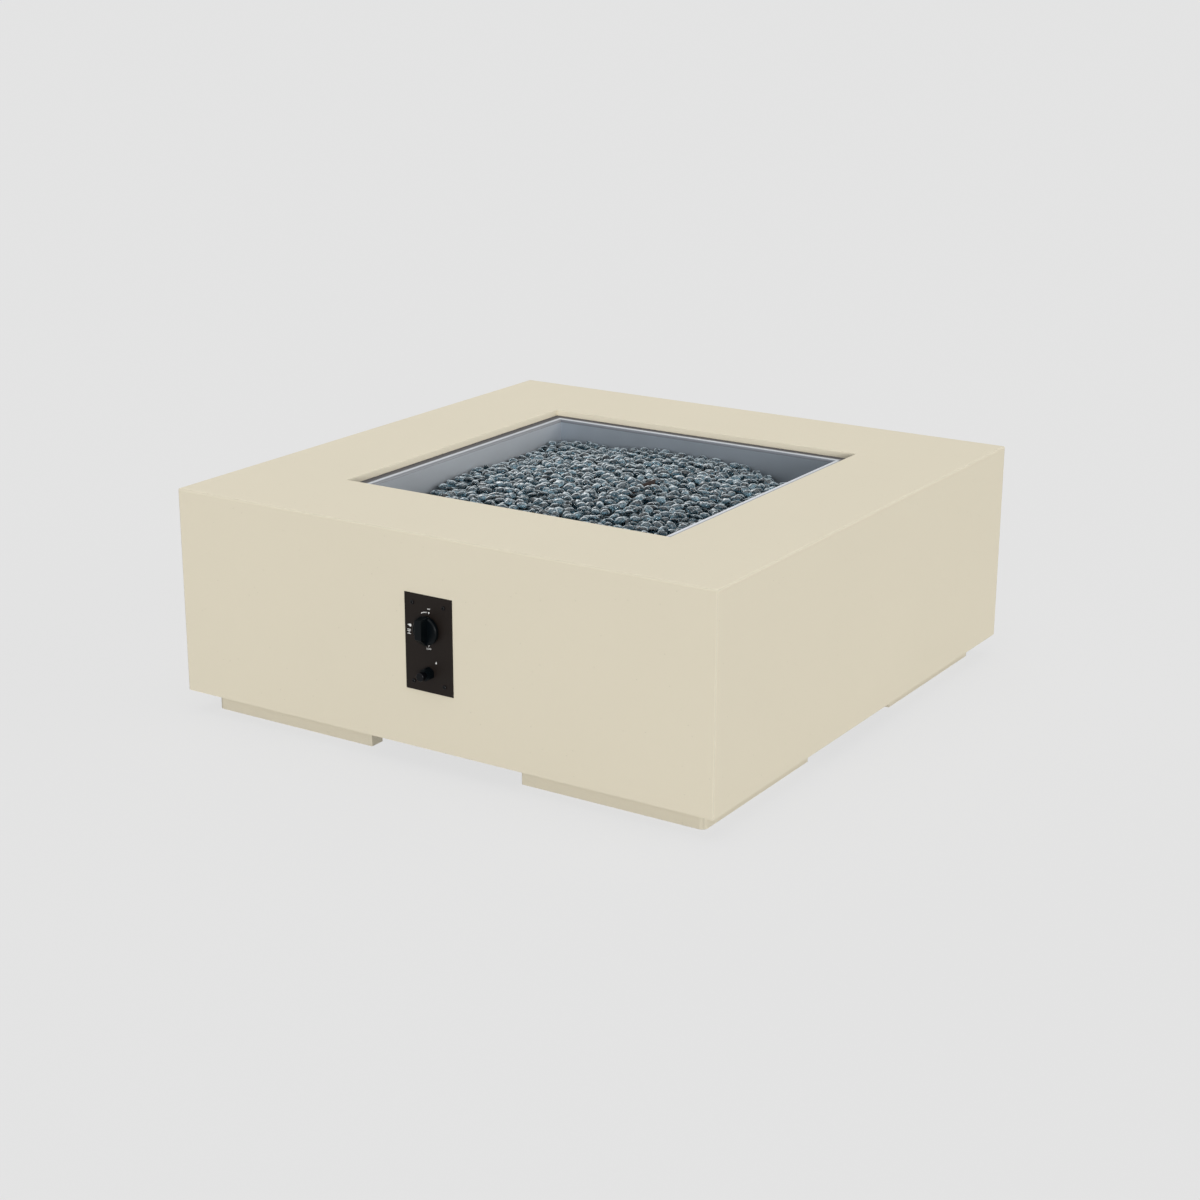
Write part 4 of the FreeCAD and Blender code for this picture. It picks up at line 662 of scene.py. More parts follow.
@dataclass(frozen=True)
class WovenTape:
    """Black heat-proof tape, woven from glass yarn."""

    colour: Colour = (0.035, 0.035, 0.038)
    yarns: float = 520.0
    yarn_share: float = 0.6
    yarn_shade: float = 2.0
    yarn_depth: float = 0.0001
    fuzz_scale: float = 1400.0
    fuzz_share: float = 0.3
    fuzz_shade: float = 2.6
    roughness: float = 0.8
    roughness_spread: float = 0.1

    def material(self) -> bpy.types.Material:
        """Yarns over and under each other.

        Returns:
            The finished material.
        """
        graph = Graph.of_material("woven_tape")
        warp, weft = (
            graph.math("SINE", graph.along(graph.place(), axis) * (self.yarns * math.pi))
            for axis in "XY"
        )
        weave = warp * weft * 0.5 + 0.5
        fuzz = graph.noise(self.fuzz_scale)
        yarn = shaded(self.colour, self.yarn_shade)
        woven = graph.mix(weave * self.yarn_share, self.colour, yarn)
        worn = shaded(self.colour, self.fuzz_shade)
        return graph.surface(
            Base_Color=graph.mix(fuzz * self.fuzz_share, woven, worn),
            Roughness=self.roughness + fuzz * self.roughness_spread,
            Normal=graph.bump(weave, self.yarn_depth),
        )


@dataclass(frozen=True)
class PrintInk:
    """Off-white screen print on the panel."""

    colour: Colour = (0.78, 0.78, 0.76)
    cover_scale: float = 2600.0
    cover_share: float = 0.35
    cover_shade: float = 0.7
    cover_depth: float = 0.00001
    roughness: float = 0.5
    roughness_spread: float = 0.1

    def material(self) -> bpy.types.Material:
        """Ink that covers a little unevenly.

        Returns:
            The finished material.
        """
        graph = Graph.of_material("print_ink")
        cover = graph.noise(self.cover_scale, detail=2.0, roughness=0.6)
        thin_ink_and_rim_sheen = shaded(self.colour, self.cover_shade)
        return graph.surface(
            Base_Color=graph.mix(cover * self.cover_share, self.colour, thin_ink_and_rim_sheen),
            Roughness=self.roughness + cover * self.roughness_spread,
            Normal=graph.bump(cover, self.cover_depth),
        )


@dataclass(frozen=True)
class DropGlass:
    """Blue-grey glass drops, each with its own tint, and a painted reflection along their rims."""

    pale: Colour = (0.165, 0.275, 0.335)
    deep: Colour = (0.018, 0.055, 0.082)
    # The colour of the painted reflection on the rims.
    edge: Colour = (0.54, 0.63, 0.67)
    edge_shade: float = 0.8
    clearness: float = 0.85
    ripple_scale: float = 190.0
    ripple_tint: float = 1.2
    ripple_depth: float = 0.0018
    roughness: float = 0.02
    roughness_spread: float = 0.03
    edge_roughness: float = 0.2
    rim_sheen_from: float = 0.53
    rim_sheen_wander: float = 0.8
    rim_sheen_rise: float = 8.0
    rim_sheen_share: float = 0.92

    def material(self) -> bpy.types.Material:
        """Tinted clear glass, wavy from its mould, with a pale painted reflection on its rims where
        it is seen at a slant.

        Returns:
            The finished material.
        """
        graph = Graph.of_material("drop_glass")
        shade = graph.node("ShaderNodeAttribute", {"attribute_name": "shade"}, None, "Fac")
        ripples = graph.noise(self.ripple_scale, detail=2.0, roughness=0.5)
        tint = graph.clamp(shade + (ripples - 0.5) * self.ripple_tint)
        body = graph.principled(
            Base_Color=graph.mix(tint, self.deep, self.pale),
            Roughness=self.roughness + ripples * self.roughness_spread,
            IOR=1.5,
            Transmission_Weight=self.clearness,
            Normal=graph.bump(ripples, self.ripple_depth),
        )
        # Painted reflection: a pale, rough shader on the rims stands in for the bright sky mirrored
        # there.
        rim = graph.principled(
            Base_Color=graph.mix(ripples, self.edge, shaded(self.edge, self.edge_shade)),
            Roughness=self.edge_roughness,
        )
        slant = graph.node("ShaderNodeLayerWeight", None, {"Blend": 0.5}, "Facing")
        wander = (ripples - 0.5) * self.rim_sheen_wander
        thin_ink_and_rim_sheen = graph.clamp((slant - self.rim_sheen_from + wander) * self.rim_sheen_rise)
        return graph.close(graph.mix_shaders(thin_ink_and_rim_sheen * self.rim_sheen_share, body, rim))


@dataclass(frozen=True)
class ShadedBedGlass:
    """The dark mass of drops below the ones that are seen; its darkness is painted shade."""

    # A dark colour that stands in for the shade deep in the glass.
    colour: Colour = (0.035, 0.05, 0.06)
    drop_scale: float = 60.0
    drop_depth: float = 0.006
    shades: tuple[tuple[float, float], ...] = ((0.1, 2.6), (0.55, 1.0), (0.9, 0.3))
    roughness: float = 0.25
    roughness_spread: float = 0.3

    def material(self) -> bpy.types.Material:
        """Painted shade: dark gaps and the dull backs of lower drops.

        Returns:
            The finished material.
        """
        graph = Graph.of_material("shaded_bed_glass")
        drops = graph.cells(self.drop_scale)
        # Painted shade: darkest at the edges of each cell, as in the gaps between drops.
        stops = [(place, shaded(self.colour, shade)) for place, shade in self.shades]
        return graph.surface(
            Base_Color=graph.ramp(drops, *stops),
            Roughness=self.roughness + drops * self.roughness_spread,
            Normal=graph.bump(1.0 - drops, self.drop_depth),
        )


FINISHES: dict[Slot, Finish] = {
    Slot.CONCRETE: CastConcrete(),
    Slot.STAINLESS: BrushedSheet(),
    Slot.ZINC_STEEL: BareMetal("zinc_plate", (0.5, 0.51, 0.53), (0.36, 0.36, 0.35), 0.36),
    Slot.SPRING_STEEL: BareMetal("spring_steel", (0.42, 0.43, 0.45), (0.2, 0.17, 0.14), 0.26),
    Slot.GASKET_TAPE: WovenTape(),
    Slot.BRASS: BareMetal("turned_brass", (0.72, 0.53, 0.24), (0.35, 0.22, 0.09), 0.24, 340.0),
    Slot.COPPER: BareMetal("drawn_copper", (0.74, 0.37, 0.22), (0.3, 0.14, 0.08), 0.28, 300.0),
    Slot.CAST_ALUMINIUM: BareMetal(
        "cast_aluminium", (0.54, 0.55, 0.56), (0.34, 0.34, 0.34), 0.46, 420.0, 0.00012
    ),
    Slot.PANEL_PAINT: PowderCoat("panel_coat", (0.0118, 0.0086, 0.0070), 0.45, gloss=0.14),
    Slot.HOOD_STEEL: PowderCoat(
        "heat_browned_steel",
        (0.055, 0.038, 0.032),
        roughness=0.5,
        peel_scale=300.0,
        peel_depth=0.00006,
        gloss=0.3,
        warm=(0.03, 0.02, 0.018),
        warm_share=0.7,
    ),
    Slot.BLACK_STEEL: PowderCoat(
        "blackened_screws", (0.003, 0.003, 0.0036), 0.2, 900.0, 0.00002, gloss=0.22
    ),
    Slot.KNOB_PLASTIC: Moulding("satin_black_plastic", (0.0016, 0.0030, 0.0040), 0.3, gloss=0.1),
    Slot.BUTTON_PLASTIC: Moulding(
        "bright_black_plastic", (0.0014, 0.0018, 0.0030), 0.16, gloss=0.15
    ),
    Slot.CERAMIC: Moulding("glazed_ceramic", (0.8, 0.78, 0.72), 0.15, 400.0, coat=0.6),
    Slot.LEAD_SLEEVE: Moulding("silicone_sleeve", (0.3, 0.045, 0.03), 0.55),
}


# Modelling


def clear_selection() -> None:
    bpy.ops.object.select_all(action="DESELECT")


def activate(piece: bpy.types.Object) -> None:
    """Makes a piece the only selected one.

    Args:
        piece: The piece.
    """
    clear_selection()
    piece.select_set(True)
    bpy.context.view_layer.objects.active = piece


def start(operator: Callable[..., set[str]], name: str, **options: object) -> bpy.types.Object:
    """Adds a primitive.

    Args:
        operator: The operator that adds it.
        name: The new piece's name.
        options: The operator's own options.

    Returns:
        The new object.
    """
    clear_selection()
    operator(**options)
    piece = bpy.context.active_object
    piece.name = name
    piece.data.name = name
    return piece


@contextmanager
def edit(piece: bpy.types.Object, mode: str) -> Iterator[bmesh.types.BMesh]:
    """Opens a piece in edit mode with nothing selected.

    Args:
        piece: The piece.
        mode: What is selected in it: VERT, EDGE or FACE.

    Yields:
        Its open mesh.
    """
    activate(piece)
    bpy.ops.object.mode_set(mode="EDIT")
    bpy.ops.mesh.select_mode(type=mode)
    bpy.ops.mesh.select_all(action="DESELECT")
    yield bmesh.from_edit_mesh(piece.data)
    bpy.ops.object.mode_set(mode="OBJECT")


def pick(open_mesh: bmesh.types.BMesh, kind: str, test: Callable[[object], bool]) -> None:
    """Selects the parts of an open mesh that pass a test.

    Args:
        open_mesh: The mesh that is being edited.
        kind: "verts", "edges" or "faces".
        test: Says of one part whether it is selected.
    """
    parts = getattr(open_mesh, kind)
    chosen = [part for part in parts if test(part)]
    for part in parts:
        part.select_set(False)
    for part in chosen:
        part.select_set(True)
    open_mesh.select_flush_mode()


def place_in_scene(name: str, data: bpy.types.ID) -> bpy.types.Object:
    """Adds an object with finished data to the scene.

    Args:
        name: The object's name.
        data: Its mesh, curve, lamp or camera.

    Returns:
        The new object.
    """
    made = bpy.data.objects.new(name, data)
    bpy.context.scene.collection.objects.link(made)
    return made


def smooth_piece(
    name: str, points: Sequence[Sequence[float]], faces: Sequence[Sequence[int]]
) -> bpy.types.Object:
    """Makes a smoothly shaded piece from its points and faces.

    Args:
        name: The piece's name.
        points: The places of its points, in metres.
        faces: The numbers of the points round each face.

    Returns:
        The new object.
    """
    mesh = bpy.data.meshes.new(name)
    mesh.from_pydata(points, [], faces)
    mesh.polygons.foreach_set("use_smooth", [True] * len(mesh.polygons))
    return place_in_scene(name, mesh)


def direction(azimuth: float, elevation: float) -> Vector:
    """The way from the table to something far off.

    Args:
        azimuth: Radians to the right of straight in front.
        elevation: Radians above the floor.

    Returns:
        A vector with a length of 1.
    """
    return Vector((
        math.sin(azimuth) * math.cos(elevation),
        -math.cos(azimuth) * math.cos(elevation),
        math.sin(elevation),
    ))


def random_turn(dice: np.random.Generator, tilt: float) -> np.ndarray:
    """A turn about the upright axis and then a lean in any direction.

    Args:
        dice: The seeded random numbers.
        tilt: The usual lean in radians.

    Returns:
        The rotation matrix.
    """
    yaw = dice.uniform(0, math.tau)
    lean = dice.normal(0, tilt)
    way = dice.uniform(0, math.tau)
    leaning = Matrix.Rotation(lean, 3, Vector((math.cos(way), math.sin(way), 0)))
    return np.array(leaning @ Matrix.Rotation(yaw, 3, "Z"))


def join(pieces: Sequence[bpy.types.Object], name: str) -> bpy.types.Object:
    """Joins pieces into the first one.

    Args:
        pieces: The pieces.
        name: The name of the joined piece.

    Returns:
        The joined piece.
    """
    clear_selection()
    for piece in pieces:
        piece.select_set(True)
    joined = pieces[0]
    bpy.context.view_layer.objects.active = joined
    bpy.ops.object.join()
    joined.name = name
    joined.data.name = name
    return joined


def settle(piece: bpy.types.Object, smooth_angle: float | None) -> bpy.types.Object:
    """Brings a finished piece's place into its mesh and shades it.

    Args:
        piece: The piece.
        smooth_angle: Edges flatter than this, in degrees, are shaded smooth. None leaves them flat.

    Returns:
        The piece.
    """
    activate(piece)
    bpy.ops.object.transform_apply(location=True, rotation=True, scale=True)
    if smooth_angle is not None:
        bpy.ops.object.shade_smooth_by_angle(angle=math.radians(smooth_angle))
    return piece


def add_piece(
    piece: bpy.types.Object, body: str, slot: Slot, material: bpy.types.Material, *nodes: str
) -> None:
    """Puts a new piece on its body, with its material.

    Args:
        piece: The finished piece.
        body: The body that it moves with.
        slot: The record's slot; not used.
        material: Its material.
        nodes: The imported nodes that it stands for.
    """
    piece.data.materials.clear()
    piece.data.materials.append(material)
    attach(piece, body)
    if nodes:
        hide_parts(*nodes)
    LOG.info("%s rides on %s", piece.name, body)


# The sub-assemblies


@dataclass(frozen=True)
class Spring:
    """A coil spring, the joint that slides against it, its fixed end and its travel; metres in the
    frame.
    """

    node: str
    joint: str
    fixed_end: float
    travel: float
    end_gap: float = 0.0003

    def press(self) -> None:
        """Gives the spring's node its own copy of its mesh, which is not shortened."""
        lowest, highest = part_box(self.node)
        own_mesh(frame["nodes"][self.node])


SPRINGS = (
    Spring("stem_spring", "knob_push", -0.4919, 0.004),
    Spring("safety_spring", "safety_lift", -0.4519, 0.004),
    Spring("igniter_spring", "igniter_push", -0.4939, 0.006),
)


@dataclass
class PackedPieces:
    """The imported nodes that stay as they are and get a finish."""

    materials: dict[Slot, bpy.types.Material] = field(default_factory=dict)
    special: dict[str, Finish] = field(default_factory=lambda: {"burner_pan": PanSheet()})

    def finish(self, slot: Slot) -> bpy.types.Material:
        """The material of a slot, made when it is first asked for.

        Args:
            slot: The record's slot.

        Returns:
            The material.
        """
        if slot not in self.materials:
            self.materials[slot] = FINISHES[slot].material()
        return self.materials[slot]

    def dress(self) -> None:
        """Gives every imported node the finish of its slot."""
        for part in frame["record"]["subparts"]:
            slot = Slot(part["material_slot"])
            if slot is Slot.FIRE_GLASS:
                continue
            node = frame["nodes"][part["node"]]
            node.data.materials.clear()
            special = self.special.get(part["node"])
            node.data.materials.append(special.material() if special else self.finish(slot))
            LOG.info("%s has the finish of %s", node.name, slot.value)


@dataclass
class Mound:
    """A local rise or hollow of the glass, in millimetres from the table's middle."""

    x: float
    y: float
    rise: float
    reach: float


@dataclass
class Drop:
    """One glass drop: its half sizes, its turn, its place, its form and its shade."""

    size: np.ndarray
    turn: np.ndarray
    place: np.ndarray
    form: int
    shade: float


@dataclass(frozen=True)
class DropForms:
    """The few uneven drops that all others are copies of, modelled with half sizes of 1."""

    count: int = 4
    sides: int = 9
    rings: int = 6
    belly_top: float = -0.3
    belly_width: float = 1.05
    belly_depth: float = 0.62
    belly_step: float = 0.1
    dents: float = 0.2
    dent_seed: int = 3
    wear: float = 0.3

    def masters(self) -> list[Form]:
        """Models the drops one by one.

        Returns:
            The points and faces of each.
        """
        masters = []
        for number in range(self.count):
            drop = start(
                bpy.ops.mesh.primitive_uv_sphere_add,
                "drop",
                segments=self.sides,
                ring_count=self.rings,
                radius=1.0,
            )
            with edit(drop, "VERT") as open_mesh:
                pick(open_mesh, "verts", lambda vert: vert.co.z < self.belly_top)
                depth = self.belly_depth + self.belly_step * number
                flatter = (self.belly_width, self.belly_width, depth)
                bpy.ops.transform.resize(value=flatter, center_override=(0, 0, 0))
                bpy.ops.mesh.select_all(action="SELECT")
                seed = number + self.dent_seed
                bpy.ops.transform.vertex_random(offset=self.dents, uniform=1.0, seed=seed)
                bpy.ops.mesh.vertices_smooth(factor=self.wear)
            points = np.array([vert.co[:] for vert in drop.data.vertices])
            points -= (points.max(0) + points.min(0)) / 2
            points /= (points.max(0) - points.min(0)) / 2
            masters.append((points, [list(face.vertices) for face in drop.data.polygons]))
            bpy.data.objects.remove(drop)
        return masters


@dataclass
class FireGlass:
    """Loose glass drops, poured one by one on a dark bed; all lengths in millimetres.

    Each drop falls near the one of a few drawn places where most glass is missing. It takes
    the lowest of a few turns, and is left out where it would stand too far above the level.
    """

    half: float = 297.0
    flange_top: float = 395.0
    peak_drop: float = 17.5
    dome_radius: float = 2612.0
    bed_depth: float = 21.0
    cell: float = 2.5
    long_half: tuple[float, float] = (9.0, 13.5)
    wide_half: tuple[float, float] = (6.5, 10.0)
    thick_half: tuple[float, float] = (3.6, 5.6)
    tilts: tuple[float, float] = (0.5, 1.2)
    standing_share: float = 0.4
    forms: DropForms = DropForms()
    scatter: float = 4.0
    slack: float = 2.5
    hood_cover: float = 5.0
    hood_flange: float = 12.0
    hood_fall: float = 18.5
    tries: int = 6
    draws: int = 14
    most_drops: int = 2600
    patience: int = 260
    seed: int = 11
    pieces: int = 3
    bed_cuts: int = 60
    bed_gap: float = 3.0
    bed_bumps: float = 2.5
    mounds: tuple[Mound, ...] = (
        Mound(-298, 298, 13, 95),
        Mound(30, 298, 6.5, 120),
        Mound(-120, 298, 4, 70),
        Mound(-298, -170, -17, 62),
        Mound(-298, 115, -6, 60),
        Mound(222, 298, -17, 48),
        Mound(298, -60, -5, 90),
        Mound(90, -298, -6, 110),
        Mound(80, 10, 5, 24),
        Mound(50, -40, 5, 24),
    )

    def target(self, x: np.ndarray, y: np.ndarray) -> np.ndarray:
        """The height that the glass is filled to.

        Args:
            x: Places to the right of the middle, in millimetres.
            y: Places behind the middle, in millimetres.

        Returns:
            The heights in millimetres.
        """
        height = self.flange_top - self.peak_drop - (x * x + y * y) / (2 * self.dome_radius)
        for mound in self.mounds:
            away = ((x - mound.x) ** 2 + (y - mound.y) ** 2) / mound.reach**2
            height = height + mound.rise * np.exp(-away)
        return height

    def hood_roof(self, x: np.ndarray, y: np.ndarray) -> np.ndarray:
        """The height of the pilot hood's roof, and far below it where there is no hood.

        Args:
            x: Places to the right of the middle, in millimetres.
            y: Places behind the middle, in millimetres.

        Returns:
            The heights in millimetres.
        """
        low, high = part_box("pilot_hood")
        shift = MIDDLE.y / MM
        front = low.y / MM - shift + self.hood_flange
        back = high.y / MM - shift - self.hood_flange
        inside = (x > low.x / MM) & (x < high.x / MM - self.hood_cover)
        inside &= (y > front + self.hood_cover) & (y < back)
        share = (x - low.x / MM) / ((high.x - low.x) / MM)
        return np.where(inside, high.z / MM - self.hood_fall * (1 - share), 0.0)

    def pour(self) -> list[Drop]:
        """Lets the drops fall one by one, each into the lowest of a few places.

        Returns:
            The drops at rest.
        """
        dice = np.random.default_rng(self.seed)
        line = np.arange(-self.half, self.half + self.cell, self.cell)
        grid_x, grid_y = np.meshgrid(line, line, indexing="ij")
        goal = self.target(grid_x, grid_y)
        heap = np.maximum(goal - self.bed_depth, self.hood_roof(grid_x, grid_y))
        drops: list[Drop] = []
        refused = 0
        while refused < self.patience and len(drops) < self.most_drops:
            spots = dice.integers(0, len(line), (self.draws, 2))
            at = spots[:, 0], spots[:, 1]
            spot = spots[np.argmax(goal[at] - heap[at])]
            drop = self._fall(dice, line, goal, heap, line[spot[0]], line[spot[1]])
            if drop is None:
                refused += 1
            else:
                refused = 0
                drops.append(drop)
        return drops

    def _fall(
        self,
        dice: np.random.Generator,
        line: np.ndarray,
        goal: np.ndarray,
        heap: np.ndarray,
        x: float,
        y: float,
    ) -> Drop | None:
        """Drops one piece of glass near a place.

        Args:
            dice: The seeded random numbers.
            line: The grid's places along one side.
            goal: The height that the glass is filled to.
            heap: The present height, which grows by the new drop.
            x: Where it falls.
            y: Where it falls.

        Returns:
            The drop, or None where it would stand too high.
        """
        spans = (self.long_half, self.wide_half, self.thick_half)
        size = np.array([dice.uniform(*span) for span in spans])
        tilt = self.tilts[int(dice.random() < self.standing_share)]
        best = None
        for _ in range(self.tries):
            turn = random_turn(dice, tilt)
            shape = turn @ np.diag(1 / size**2) @ turn.T
            reach = np.sqrt(np.diag(np.linalg.inv(shape)))
            room = self.half - reach[:2]
            spot = np.array([x, y]) + dice.uniform(-self.scatter, self.scatter, 2)
            place = np.clip(spot, -room, room)
            low, high = (np.searchsorted(line, place + side * reach[:2]) for side in (-1, 1))
            part = np.s_[low[0] : high[0], low[1] : high[1]]
            sides = (line[span] - middle for span, middle in zip(part, place))
            dx, dy = np.meshgrid(*sides, indexing="ij")
            half_b = shape[0, 2] * dx + shape[1, 2] * dy
            rest = shape[0, 0] * dx**2 + 2 * shape[0, 1] * dx * dy + shape[1, 1] * dy**2 - 1
            root = half_b**2 - shape[2, 2] * rest
            hit = root > 0
            if not hit.any():
                continue
            root = np.sqrt(np.where(hit, root, 0))
            under = (-half_b - root) / shape[2, 2]
            over = (-half_b + root) / shape[2, 2]
            level = np.max(np.where(hit, heap[part] - under, NOWHERE))
            rise = level + reach[2] - np.mean(goal[part])
            if best is None or rise < best[0]:
                top = np.where(hit, over + level, NOWHERE)
                best = (rise, turn, np.array([*place, level]), part, top)
        if best is None or best[0] > self.slack:
            return None
        _, turn, place, part, top = best
        heap[part] = np.maximum(heap[part], top)
        form = int(dice.integers(0, self.forms.count))
        return Drop(size, turn, place, form, float(dice.uniform()))

    def heap_mesh(
        self, name: str, drops: Sequence[Drop], masters: Sequence[Form]
    ) -> bpy.types.Object:
        """One piece that holds many drops.

        Args:
            name: Its name.
            drops: The drops that it holds.
            masters: The forms that they are copies of.

        Returns:
            The new object.
        """
        points: list[np.ndarray] = []
        faces: list[list[int]] = []
        shades: list[float] = []
        for drop in drops:
            form, form_faces = masters[drop.form]
            first = len(shades)
            points.append((form * drop.size) @ drop.turn.T + drop.place)
            faces.extend([index + first for index in face] for face in form_faces)
            shades.extend([drop.shade] * len(form))
        placed = np.concatenate(points) * MM
        placed[:, 1] += MIDDLE.y
        piece = smooth_piece(name, placed.tolist(), faces)
        piece.data.attributes.new("shade", "FLOAT", "POINT").data.foreach_set("value", shades)
        return piece

    def bed(self) -> bpy.types.Object:
        """The dark mass below the drops, down to the pan's floor.

        Returns:
            The new object.
        """
        low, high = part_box("fire_glass")
        bed = start(
            bpy.ops.mesh.primitive_grid_add,
            "shaded_glass_bed",
            x_subdivisions=self.bed_cuts,
            y_subdivisions=self.bed_cuts,
            size=high.x - low.x,
            location=(MIDDLE.x, MIDDLE.y, 0.0),
        )
        settle(bed, smooth_angle=None)
        dice = np.random.default_rng(self.seed)
        places = np.array([vert.co[:] for vert in bed.data.vertices])
        height = self.target(places[:, 0] / MM, (places[:, 1] - MIDDLE.y) / MM)
        bumps = dice.uniform(-self.bed_bumps, self.bed_bumps, len(places))
        height = height - self.bed_depth - self.bed_gap + bumps
        for vert, z in zip(bed.data.vertices, height * MM):
            vert.co.z = z
        with edit(bed, "FACE") as open_mesh:
            pick(open_mesh, "faces", lambda face: True)
            bpy.ops.mesh.extrude_region_move(TRANSFORM_OT_translate={"value": (0, 0, -MM)})
            for vert in bmesh.from_edit_mesh(bed.data).verts:
                if vert.select:
                    vert.co.z = low.z
            bmesh.update_edit_mesh(bed.data)
            bpy.ops.mesh.select_all(action="SELECT")
            bpy.ops.mesh.normals_make_consistent(inside=False)
        return settle(bed, smooth_angle=60.0)

    def build(self) -> None:
        """Pours the glass and sets it in the pan."""
        drops = self.pour()
        masters = self.forms.masters()
        LOG.info("%d glass drops", len(drops))
        glass = DropGlass().material()
        add_piece(self.bed(), "table", Slot.FIRE_GLASS, ShadedBedGlass().material(), "fire_glass")
        order = sorted(drops, key=lambda drop: drop.place[0])
        most = math.ceil(len(order) / self.pieces)
        for number in range(self.pieces):
            part = order[number * most : (number + 1) * most]
            piece = self.heap_mesh(f"glass_drops_{number + 1}", part, masters)
            add_piece(piece, "table", Slot.FIRE_GLASS, glass, "fire_glass")


@dataclass
class PanelPrint:
    """The marks round the knob and the flame over the button, in print on the panel.

    Lengths are in millimetres, and a flame's own measures are shares of its height.
    """

    ink_depth: float = 0.08
    front: float = -535.4
    knob_x: float = 0.0
    knob_z: float = 247.0
    capital_share: float = 0.7
    boldness: float = 0.06
    letter_steps: int = 4
    arc_steps: int = 10
    flame_corners: int = 20
    flame_radius: float = 0.33
    flame_taper: float = 0.75
    flame_bend: float = 0.1
    flame_stretch: float = 0.34
    flame_drop: float = 0.17

    def word(
        self, text: str, x: float, z: float, height: float, turned: float = 0.0
    ) -> bpy.types.Object:
        """A short word.

        Args:
            text: The letters.
            x: The middle of the word, in millimetres.
            z: The middle of the word, in millimetres.
            height: The height of its capitals.
            turned: How far it is turned anticlockwise, in degrees.

        Returns:
            The word as a mesh.
        """
        clear_selection()
        bpy.ops.object.text_add(
            location=table_point(x, self.front, z),
            rotation=(QUARTER_TURN, math.radians(-turned), 0),
        )
        word = bpy.context.active_object
        word.data.body = text
        word.data.size = height * MM / self.capital_share
        word.data.align_x = "CENTER"
        word.data.align_y = "CENTER"
        word.data.extrude = self.ink_depth * MM / 2
        word.data.offset = self.boldness * MM
        word.data.resolution_u = self.letter_steps
        bpy.ops.object.convert(target="MESH")
        return word

    def triangle(self, x: float, z: float, size: float) -> bpy.types.Object:
        """A small triangle that points up.

        Args:
            x: Its middle, in millimetres.
            z: Its middle, in millimetres.
            size: The width of the circle round it.

        Returns:
            The mark.
        """
        return start(
            bpy.ops.mesh.primitive_cylinder_add,
            "triangle",
            vertices=3,
            radius=size * MM / 2,
            depth=self.ink_depth * MM,
            location=table_point(x, self.front, z),
            rotation=(QUARTER_TURN, math.pi, 0),
        )

    def arc(
        self, radius: float, start_angle: float, sweep: float, width: float
    ) -> bpy.types.Object:
        """A curved stroke round the knob.

        Args:
            radius: From the knob's axis to the middle of the stroke.
            start_angle: Degrees anticlockwise from the top.
            sweep: How far it goes on, in degrees.
            width: The stroke's width.

        Returns:
            The stroke.
        """
        turn = math.radians(start_angle)
        centre = table_point(self.knob_x, self.front, self.knob_z)
        out = Vector((-math.sin(turn), 0, math.cos(turn)))
        stroke = start(
            bpy.ops.mesh.primitive_plane_add, "arc", size=1.0, location=centre + out * (radius * MM)
        )
        stroke.scale = (self.ink_depth * MM, width * MM, 1)
        for moved, angles in (
            (False, (QUARTER_TURN, 0, 0)),
            (False, (0, 0, QUARTER_TURN)),
            (True, (0, -turn, 0)),
        ):
            stroke.rotation_euler = angles
            bpy.ops.object.transform_apply(location=moved, rotation=True, scale=True)
        with edit(stroke, "FACE"):
            bpy.ops.mesh.select_all(action="SELECT")
            bpy.ops.mesh.spin(
                steps=self.arc_steps, angle=math.radians(-sweep), center=centre, axis=(0, -1, 0)
            )
        return stroke

    def flame(self, x: float, z: float, height: float, turned: float = 0.0) -> bpy.types.Object:
        """A small flame mark with a bent tip.

        Args:
            x: Its middle, in millimetres.
            z: Its middle, in millimetres.
            height: Its height.
            turned: How far it is turned anticlockwise, in degrees.

        Returns:
            The mark.
        """
        size = height * MM
        mark = start(
            bpy.ops.mesh.primitive_circle_add,
            "flame",
            vertices=self.flame_corners,
            radius=size * self.flame_radius,
            fill_type="NGON",
        )
        with edit(mark, "VERT") as open_mesh:
            for vert in open_mesh.verts:
                lift = max(0.0, vert.co.y / (size * self.flame_radius))
                vert.co.x *= 1 - self.flame_taper * lift
                vert.co.x += self.flame_bend * size * lift * lift
                vert.co.y += size * self.flame_stretch * lift * lift - size * self.flame_drop
            bpy.ops.mesh.select_all(action="SELECT")
            depth = {"value": (0, 0, self.ink_depth * MM)}
            bpy.ops.mesh.extrude_region_move(TRANSFORM_OT_translate=depth)
            bpy.ops.mesh.select_all(action="SELECT")
            bpy.ops.mesh.normals_make_consistent(inside=False)
        mark.rotation_euler = (QUARTER_TURN, math.radians(-turned), 0)
        mark.location = table_point(x, self.front + self.ink_depth / 2, z)
        return mark

    def build(self) -> None:
        """Prints the marks."""
        marks = [
            self.word("OFF", 1.8, 282.0, 2.3),
            self.triangle(1.8, 275.9, 4.6),
            self.arc(29.4, 5, 23, 1.2),
            self.word("HI", -38.4, 237.6, 7.0, 90),
            self.flame(-38.0, 248.6, 8.0, 90),
            self.triangle(0.6, 219.7, 3.8),
            self.word("LOW", 0.6, 214.5, 2.9),
            self.flame(14.6, 193.2, 4.6),
        ]
        printed = join(marks, "panel_print")
        settle(printed, smooth_angle=None)
        add_piece(printed, "table", Slot.PANEL_PAINT, PrintInk().material())


